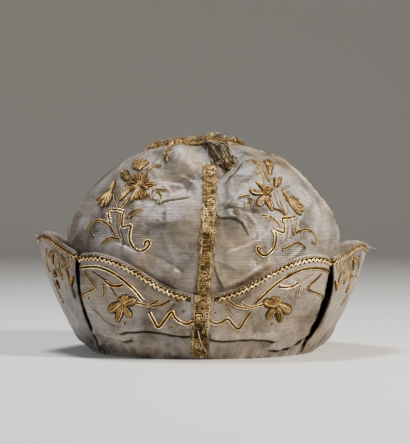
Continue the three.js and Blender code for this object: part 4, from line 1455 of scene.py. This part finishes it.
# %% The strokes of the left sprig, in pixels of the photograph
LEFT_SPRIG = {
    "bright": [
        [(123.2, 213.5), (122.6, 220), (122.2, 226.6), (124.5, 226.9), (129.5, 225.6), (131.3, 226),
         (130.3, 231), (129.6, 236), (130.5, 242), (134, 248.5), (140, 251), (146, 249), (149.5, 244.5),
         (149, 241), (145.5, 242), (145, 245)],
        [(110.5, 224), (109.2, 217), (108.9, 211.3), (109.9, 209.9), (114, 209.8), (119, 210.3),
         (124, 212)],
        [(120.7, 208), (124.2, 203.6), (127.8, 199.3)],
    ],
    "dull": [
        [(114.5, 234.5), (111.5, 228.2), (106.5, 223.7), (101, 220.6), (96, 220.9), (90.5, 226),
         (90.4, 231.5), (93.5, 237)],
        [(102, 244.5), (106, 240), (111.5, 237.5), (118.5, 239)],
        [(127.3, 218.5), (129.5, 215), (134, 211.3), (144, 209.3)],
        [(146, 170), (149.5, 168), (155.5, 165.3), (161, 165.6)],
        [(151.5, 188.6), (157.5, 189.4), (166, 190)],
        [(158, 192), (161.2, 197), (159.3, 203.5)],
        [(126.6, 184), (124, 188), (122.2, 192.5)],
    ],
    "stem": [
        [(116.5, 214), (116, 223), (117.5, 232), (121, 243), (122.5, 249)],
        [(119.5, 214), (119.5, 224), (121, 234), (123.5, 244)],
        [(113, 194), (115.5, 203), (118, 209)],
        [(104, 244.5), (110.5, 240.5), (118, 239.5)],
        [(129, 218.7), (134, 215.8), (138, 214.6)],
        [(122.5, 193), (121.5, 200), (120.5, 207)],
        [(152, 189.5), (150.8, 196), (151.8, 198.8), (154.5, 198.5), (157.5, 193)],
    ],
}
PETAL_COLUMNS = ("what", "base", "wide", "form", "tips")
LEFT_PETALS = table(PETAL_COLUMNS, [
    ("bud", (112, 190.5), 2.3, "blunt",
     [(97, 200), (98.6, 204), (101.8, 207.6), (106.2, 206.5), (109, 202.5)]),
    ("neck of the bud", (111.5, 192), 1.7, "pointed", [(114.8, 180.8)]),
    ("flower", (139.5, 185), 2.2, "pointed",
     [(128, 190.5), (128.3, 182.5), (133, 176.5), (136.7, 174.3), (141.2, 173), (146.2, 172.6),
      (148.3, 178.5), (148.5, 189)]),
    ("right petal", (144, 184.6), 2.1, "pointed", [(156.3, 184)]),
    ("lower lobes", (139, 187), 2.2, "blunt",
     [(146, 196.5), (141.3, 198.8), (136.2, 199.5), (131.6, 201.8)]),
    ("heart of the flower", (135.5, 189), 2.4, "pointed", [(142.5, 180)]),
    ("long leaf", (129.5, 190), 1.5, "pointed", [(119.7, 200.6)]),
    ("leaf bud", (128.5, 180), 1.7, "pointed", [(121.8, 175.5), (122.6, 170.3), (126.4, 171)]),
    ("tuft", (140.5, 170), 1.9, "blunt",
     [(133.4, 166), (134.3, 162.3), (137.6, 160), (141.3, 159), (145, 159.8), (148, 162)]),
])
print("strokes of the left sprig:", sum(len(rows) for rows in LEFT_SPRIG.values()))

# %% The strokes of the right sprig
RIGHT_SPRIG = {
    "bright": [
        [(273.4, 229.3), (275.6, 235), (275.6, 241), (273.5, 248), (268.9, 253.2), (263.3, 255.3),
         (258.6, 252), (256.8, 247.8), (258.6, 247.2), (260, 249.2)],
        [(273.4, 229), (277.3, 230.6), (283.2, 232.6), (284, 231.5), (283.6, 226.5), (281.6, 220),
         (282.6, 218.4), (288, 218.2), (295.2, 217)],
    ],
    "dull": [
        [(295.6, 217.6), (295.5, 227.2), (293.4, 235.6)],
        [(244.5, 161.7), (252, 160.3), (257.6, 163.3), (262.6, 169.6), (268.2, 176.7)],
        [(253.6, 171.5), (259.8, 172.6), (264.7, 176.7), (269.6, 181.8)],
        [(262.4, 215.6), (268.2, 216.3), (274.5, 220.2), (279.4, 227)],
        [(295.5, 232.8), (300, 231), (305.4, 229.5), (311.7, 232.1), (316.4, 238.4),
         (315.6, 244.2), (311.4, 241.6)],
        [(282.4, 249.4), (287.1, 247.3), (291.5, 245.5), (296.2, 243), (301.2, 244.2), (305.2, 248.8)],
        [(272.5, 208.8), (279, 210.5), (285.5, 215.5)],
        [(239.6, 197.7), (244.3, 196.4), (249.8, 195.7)],
        [(250.6, 198), (252, 202.4), (250.2, 204.5), (248.7, 202.2)],
    ],
    "stem": [
        [(252.2, 162.8), (256.4, 164.9), (261.2, 170.4), (264.7, 176)],
        [(271.7, 185), (276, 190), (280, 202), (286.2, 216)],
        [(269.6, 182), (274, 192), (277, 203), (284, 214)],
        [(283, 192), (286, 204), (287.3, 214)],
        [(269, 221.3), (274.5, 223.1), (278.7, 227.9)],
        [(287.1, 220), (287.1, 230.7), (285.7, 241.2)],
        [(290.6, 219.5), (291.6, 230), (290.8, 238)],
        [(244, 201.5), (244.2, 206.5), (247, 208.2)],
    ],
}
RIGHT_PETALS = table(PETAL_COLUMNS, [
    ("bud", (288, 200.5), 2.3, "blunt",
     [(296.5, 210), (301, 215), (303.4, 210.8), (302.7, 205.4), (297.6, 199)]),
    ("neck of the bud", (289.5, 202.5), 1.9, "pointed", [(282.8, 190)]),
    ("left petal", (264, 193.5), 2.7, "blunt", [(249.8, 190)]),
    ("lower petal", (264, 194.5), 2.7, "blunt", [(258.5, 206)]),
    ("pointed petal", (266, 196), 2.6, "pointed", [(271.7, 210.5)]),
    ("upper petals", (265.5, 190.5), 1.5, "pointed", [(256.2, 181.6), (260, 182)]),
    ("heart of the flower", (263, 192), 2.4, "pointed", [(271.5, 188.5), (271, 196)]),
    ("tuft", (270.2, 175), 2.1, "blunt", [(264.8, 160.6), (268.6, 160)]),
    ("faint tuft", (275.5, 187), 1.4, "pointed", [(275.6, 178), (280.8, 177.5)]),
])
print("strokes of the right sprig:", sum(len(rows) for rows in RIGHT_SPRIG.values()))

# %% The strokes of the border, on the left
BORDER_LINES = {
    "bright": [
        [(78, 268.3), (86, 267), (95, 266.8), (106, 269.5), (117, 275.3), (127, 283), (136, 292),
         (143.5, 300.5)],
        [(149.5, 312), (154, 320.5), (158.5, 327), (165, 320), (171.7, 312), (175, 317.5), (180.5, 322),
         (187.5, 323.7), (193.5, 321)],
        [(105.5, 281), (110, 284.5), (116, 286), (122.5, 285)],
    ],
    "dull": [
        [(135.5, 302.5), (145, 304.7), (153, 306), (162, 304.5), (170.5, 300)],
        [(147, 305), (153, 303.5), (158, 300.3)],
        [(85, 272), (90.5, 280), (95.3, 287.3), (87, 292), (81, 298)],
        [(103, 284), (104.3, 290), (104, 296)],
        [(49, 257), (50, 252.7), (52.8, 250.9), (55.8, 251.5), (57.5, 256), (56.5, 261), (55, 265),
         (56.3, 268.5)],
        [(46.8, 249), (46.6, 255), (47, 262), (48.2, 268), (50, 271.5)],
        [(58, 270.4), (55.4, 269.4), (53.2, 271.4), (53.4, 274.6), (55.4, 276.4), (57.4, 275.2)],
        [(57.3, 269.2), (60.2, 274.5), (63, 279.4)],
        [(61.1, 255.1), (63.5, 259), (64, 262.5), (61.3, 267.7), (65, 266), (68, 261.5), (69, 257)],
        [(71.5, 257), (72, 262.9), (69, 267.5), (65.5, 269.2)],
        [(57.6, 291.5), (59.6, 295.5), (61.8, 299.3), (63.4, 303.5)],
    ],
    "stem": [
        [(92, 271.5), (99, 276.5), (105.5, 281)],
        [(108, 283), (112, 290), (116, 297)],
        [(174.5, 303), (169.5, 309.5), (164, 316)],
        [(59, 262), (60, 270), (63, 276)],
        [(53, 280), (55, 285), (57.5, 290)],
    ],
}
RIGHT_ZIGZAG = [(147.5, 310), (152.3, 318.6), (157.1, 329.2), (163.8, 323.5), (169.5, 318), (175.2, 321.4),
                (181, 322.6), (186.3, 320.2), (187.5, 317)]  # as it would be on the left
LONG_ARC, _, SHORT_STROKE = BORDER_LINES["bright"]
RIGHT_BORDER = {**BORDER_LINES, "bright": [SHORT_STROKE], "worn": [LONG_ARC, RIGHT_ZIGZAG]}
BORDERS = {"left": BORDER_LINES, "right": RIGHT_BORDER}
BORDER_PETALS = table(PETAL_COLUMNS, [
    ("crest of the flower", (123.5, 303.5), 1.7, "blunt",
     [(119.6, 297.2), (123.6, 295.2), (128, 295.4)]),
    ("inner petal", (121.5, 306), 3.3, "blunt", [(136, 299.6)]),
    ("outer petal", (123, 302), 3.5, "blunt", [(109.2, 311.6)]),
    ("lowest petal", (121.6, 307), 2.7, "pointed", [(117.6, 321.5)]),
    ("lower inner petal", (123, 304.5), 2.9, "blunt", [(130.8, 317)]),
    ("heart of the flower", (122.6, 302.5), 2.2, "pointed", [(124.4, 312)]),
    ("leaf by the fold", (67, 270.5), 1.9, "pointed", [(71.3, 286)]),
    ("leaf beside it", (73, 276), 1.4, "pointed", [(72.3, 287)]),
    ("round of the wing", (53, 264), 2.3, "blunt", [(53, 253)]),
    ("knot of the wing", (54.4, 270.6), 1.9, "blunt", [(56.4, 275.6)]),
    ("small leaf", (56.5, 281), 1.8, "pointed", [(60, 288)]),
])
BORDER_SPANGLES = [(171.7, 326.5), (124.9, 323.5), (183, 311.5), (88.6, 298), (171.5, 298.5), (177, 300.5),
                   (183, 301)]
print("strokes of the border:", sum(len(rows) for rows in BORDER_LINES.values()))

# %% Three stitches
# the worn lines, on the right half of the border, are dull gold as painted shade where their highlights are
# weaker
COUCHED = {"bright": {"gold": BRIGHT, "gap": 1.25, "thick": 0.62, "between": 0.72},
           "worn": {"gold": DULL, "gap": 1.2, "thick": 0.56, "between": 0.72},
           "dull": {"gold": DULL, "gap": 0.95, "thick": 0.42, "between": 0.68}}
COUCHED_LIFT, SUNK_LIFT = 0.4, 0.15
STEM = {"thick": 0.46, "lift": 0.2, "apart": 0.7}
PETAL = {"pad": 1.4, "lift": 0.1, "points": 9}
PETAL_SWELL = {"start": 0.06, "span": 0.88, "power": 0.75}  # an arch without its very ends, made fuller
PETAL_STITCH = {"pitch": 1.45, "thick": 0.42, "lift": 0.15, "cover": 0.8}
PETAL_EDGE = {"thick": 0.58, "out": 0.55, "lift": 0.3}
PETAL_FORM = {"blunt": 1.7, "pointed": 0.85}  # a blunt petal is widest near its tip
PETAL_GOLDS = (PADDED, DULL, PADDED, BRIGHT)


def beside(points, above):
    """The direction across a line on the cloth."""
    return unit(np.cross(above, np.gradient(points, axis=0)))


def couch(threads, points, above, kind):
    """A pair of cords along a line, with a near-black one sunk between them, as painted shade in the gap.
    """
    size = COUCHED[kind]
    for gap in (-size["gap"], size["gap"]):
        threads.add(points + beside(points, above) * gap + COUCHED_LIFT * above, above, size["thick"],
                    material=size["gold"])
    threads.add(points + SUNK_LIFT * above, above, size["between"], material=SHADE_CORD)


def stem(threads, points, above):
    """A thin gold thread beside a near-black one, which is its painted shadow."""
    threads.add(points + STEM["lift"] * above, above, STEM["thick"], sides=4, material=DULL)
    aside = STEM["apart"] * beside(points, above)
    threads.add(points + aside, above, STEM["thick"], sides=4, material=SHADE_CORD)


def petal(threads, points, above, wide, form):
    """A padded leaf from its base to its tip: gold stitches over a near-black pad, edged with a near-black
    cord; pad and edge are painted shade.
    """
    t = np.linspace(0, 1, len(points))
    arch = np.sin(np.pi * (PETAL_SWELL["start"] + PETAL_SWELL["span"] * t ** PETAL_FORM[form]))
    swell = arch ** PETAL_SWELL["power"]
    threads.add(points + PETAL["lift"] * above, above, wide * swell, PETAL["pad"] * swell, sides=8,
                material=SHADE_CORD)
    aside = beside(points, above)
    count = max(3, round(2 * wide / PETAL_STITCH["pitch"]))
    for n, across in enumerate(np.linspace(-PETAL_STITCH["cover"], PETAL_STITCH["cover"], count)):
        shift = aside * (across * wide * swell)[:, None]
        dome = PETAL["pad"] * swell * math.sqrt(1 - across * across)
        rise = above * (PETAL_STITCH["lift"] + dome)[:, None]
        threads.add(points + shift + rise, above, PETAL_STITCH["thick"], sides=4,
                    material=PETAL_GOLDS[n % len(PETAL_GOLDS)])
    edge = aside * (wide * swell + PETAL_EDGE["out"])[:, None]
    rim = np.vstack([points + edge, (points - edge)[::-1]])
    rim_above = np.vstack([above, above[::-1]])
    threads.add(rim + PETAL_EDGE["lift"] * rim_above, rim_above, PETAL_EDGE["thick"], sides=4,
                material=SHADE_CORD)


print("couched lines are", ", ".join(COUCHED))

# %% Working a motif
STITCH_STEP = 0.9
FEWEST_POINTS = 5
SPANGLE = {"radius": 1.3, "points": 11}


def smooth_path(places, scale):
    """A smooth line through places, with about one point for each step."""
    places = np.asarray(places, float)
    run = length_along(places * scale)
    often = np.linspace(0, run[-1], max(FEWEST_POINTS, int(run[-1] / STITCH_STEP)))
    return np.stack([smooth_read(run, places[:, n], often) for n in (0, 1)], -1)


def stitch_motif(name, find, cloth, scale, lines, petals, spangles):
    """All the strokes of one motif. find turns a pixel into a place, cloth a place into a point."""
    rows = []
    for kind, paths in lines.items():
        for path in paths:
            rows.append((kind, smooth_path([find(pixel) for pixel in path], scale), None))
    for group in petals:
        for tip in group["tips"]:
            rows.append(("petal", np.linspace(find(group["base"]), find(tip), PETAL["points"]), group))
    angle = np.linspace(0, 2 * np.pi, SPANGLE["points"])
    circle = SPANGLE["radius"] * stack(np.cos(angle), np.sin(angle)) / scale
    rows += [("stem", find(centre) + circle, None) for centre in spangles]
    kinds, places, groups = zip(*rows)
    points, above = cloth(*np.concatenate(places).T)
    threads = Threads()
    for kind, group, (laid, up) in zip(kinds, groups, cut_up(places, points, above)):
        if kind == "petal":
            petal(threads, laid, up, group["wide"], group["form"])
        elif kind == "stem":
            stem(threads, laid, up)
        else:
            couch(threads, laid, up, kind)
    finish_piece(threads.build(name, [BRIGHT, DULL, PADDED, SHADE_CORD]), "bright_gold")


print("a stitched line has a point each", STITCH_STEP, "mm")

# %% Working the sprigs and the borders
SPRIGS = {"left": (LEFT_SPRIG, LEFT_PETALS), "right": (RIGHT_SPRIG, RIGHT_PETALS)}
SPRIG_SCALE = (2, CROWN_RUN)  # millimetres for a degree, and for a whole share
BORDER_SCALE = (2.2, 50)
BORDER_SHIFT = {"by": -2.4, "from": 40, "to": 58}  # the lace is left of the middle, but the wings are not

sewn_crown = Net(lambda azimuth, share: crown_cloth(azimuth, share)[0], CROWN_NET_SHARES)
sewn_brim = Net(lambda azimuth, share: brim_cloth(azimuth, share)[0], BRIM_NET_SHARES)


def finder(net, back, mirrored=False):
    """A function from a pixel to a place, which may be mirrored to the right half and to the back."""
    def find(pixel):
        azimuth, share = net.find(pixel)
        if mirrored:
            on_wing = smooth_step(-azimuth, BORDER_SHIFT["from"], BORDER_SHIFT["to"])
            azimuth = -azimuth + BORDER_SHIFT["by"] * (1 - on_wing)
        return (180 - azimuth if back else azimuth), share

    return find


for side in ("left", "right"):
    for back in (False, True):
        where = ("back_" if back else "front_") + side
        stitch_motif("sprig_" + where, finder(sewn_crown, back), crown_cloth, SPRIG_SCALE,
                     *SPRIGS[side], [])
        stitch_motif("border_" + where, finder(sewn_brim, back, side == "right"), brim_cloth, BORDER_SCALE,
                     BORDERS[side], BORDER_PETALS, BORDER_SPANGLES)

# %% [markdown]
# ## Frayed ends
#
# Silk that is handled for years frays where it is touched most, at the tips of the wings and along the hem.
# Each fray is a few pale threads that leave the cloth and bend as they go. One loose thread hangs down over
# the front lace.

# %% The frayed ends
FRAYS = table(("what", "from", "to", "share", "count", "long"), [
    ("tip of the right wing", 86, 93, 1.98, 22, 2.6),
    ("tip of the left wing", 267, 274, 1.98, 14, 2),
    ("hem at the left", 308, 322, 0.12, 34, 3),
    ("hem at the right", 40, 52, 0.12, 14, 2),
    ("hem at the back", 150, 166, 0.12, 14, 2.5),
])
FRAY = {"thick": 0.16, "sunk": 0.3, "sway": 0.7, "curl": 0.5, "points": 7, "seed": 5}
FRAY_UNEVEN = (0.4, 1.3)
FRAY_ASIDE = (0.3, 0.2, 0.9)  # any direction will do that no fray runs along
LOOSE_THREAD = [(198, 330), (200, 338), (203, 345), (207, 352)]
LOOSE_LIFT = 1.7
LOWEST = 0.3  # no thread goes below this height

draw = random.Random(FRAY["seed"])
threads = Threads()
t = np.linspace(0, 1, FRAY["points"])[:, None]
for row in FRAYS:
    azimuths = np.array([draw.uniform(row["from"], row["to"]) for _ in range(row["count"])])
    for root, out in zip(*brim_cloth(azimuths, row["share"])):
        long = row["long"] * draw.uniform(*FRAY_UNEVEN)
        sway = np.array([draw.gauss(0, FRAY["sway"]) for _ in range(3)])
        curl = np.array([draw.gauss(0, FRAY["curl"]) for _ in range(3)])
        line = root - FRAY["sunk"] * out + long * (t * (out + sway) + t * t * curl)
        line[:, 2] = np.maximum(line[:, 2], LOWEST)
        threads.add(line, np.cross(out, FRAY_ASIDE), FRAY["thick"], sides=4, material=FRAYED_SILK)
loose = smooth_path([brim_net.find(pixel) for pixel in LOOSE_THREAD], BORDER_SCALE)
points, above = brim_cloth(*loose.T, LOOSE_LIFT)
threads.add(points, above, 2 * FRAY["thick"], material=FRAYED_SILK)
finish_piece(threads.build("frayed_ends", [FRAYED_SILK]), "silk")

# %% [markdown]
# ## The cloth as it was cut
#
# How large each piece of cloth was cut is worked out here and printed. A quarter of the crown is a gore:
# its width at each height is a quarter of the dome's girth, so its area is those widths added up along the
# run. Half of the brim is a shaped strip, taken in the same way from its own points.

# %% The sheets and their flat sizes
CROWN_CUT = {"columns": 60, "shares": np.linspace(0, 0.999, 60)}
BRIM_CUT = {"columns": 400, "shares": np.linspace(0, EDGE_SHARE, 40)}


def cut_size(place, start, end, columns, shares):
    """The widest width, the longest length and the area of a smooth piece of cloth, in metres."""
    azimuth, share = np.meshgrid(np.linspace(start, end, columns), shares)
    grid = place(azimuth.ravel(), share.ravel()).reshape(*azimuth.shape, 3) * MM
    right, up = np.diff(grid[:-1], axis=1), np.diff(grid[:, :-1], axis=0)
    area = np.linalg.norm(np.cross(right, up), axis=-1).sum()
    wide, tall = np.linalg.norm(right, axis=-1).sum(1).max(), np.linalg.norm(up, axis=-1).sum(0).max()
    return (wide, tall), area


for corner, (start, *_) in CROWN_GRIDS.items():
    flat, area = cut_size(plain_crown, start, start + 90, **CROWN_CUT)
    print(corner, "of the crown:", np.round(flat, 3), f"m, {area:.4f} square metres")
for side, start in BRIM_HALVES.items():
    flat, area = cut_size(plain_brim, start, start + 180, **BRIM_CUT)
    print(side, "half of the brim:", np.round(flat, 3), f"m, {area:.4f} square metres")
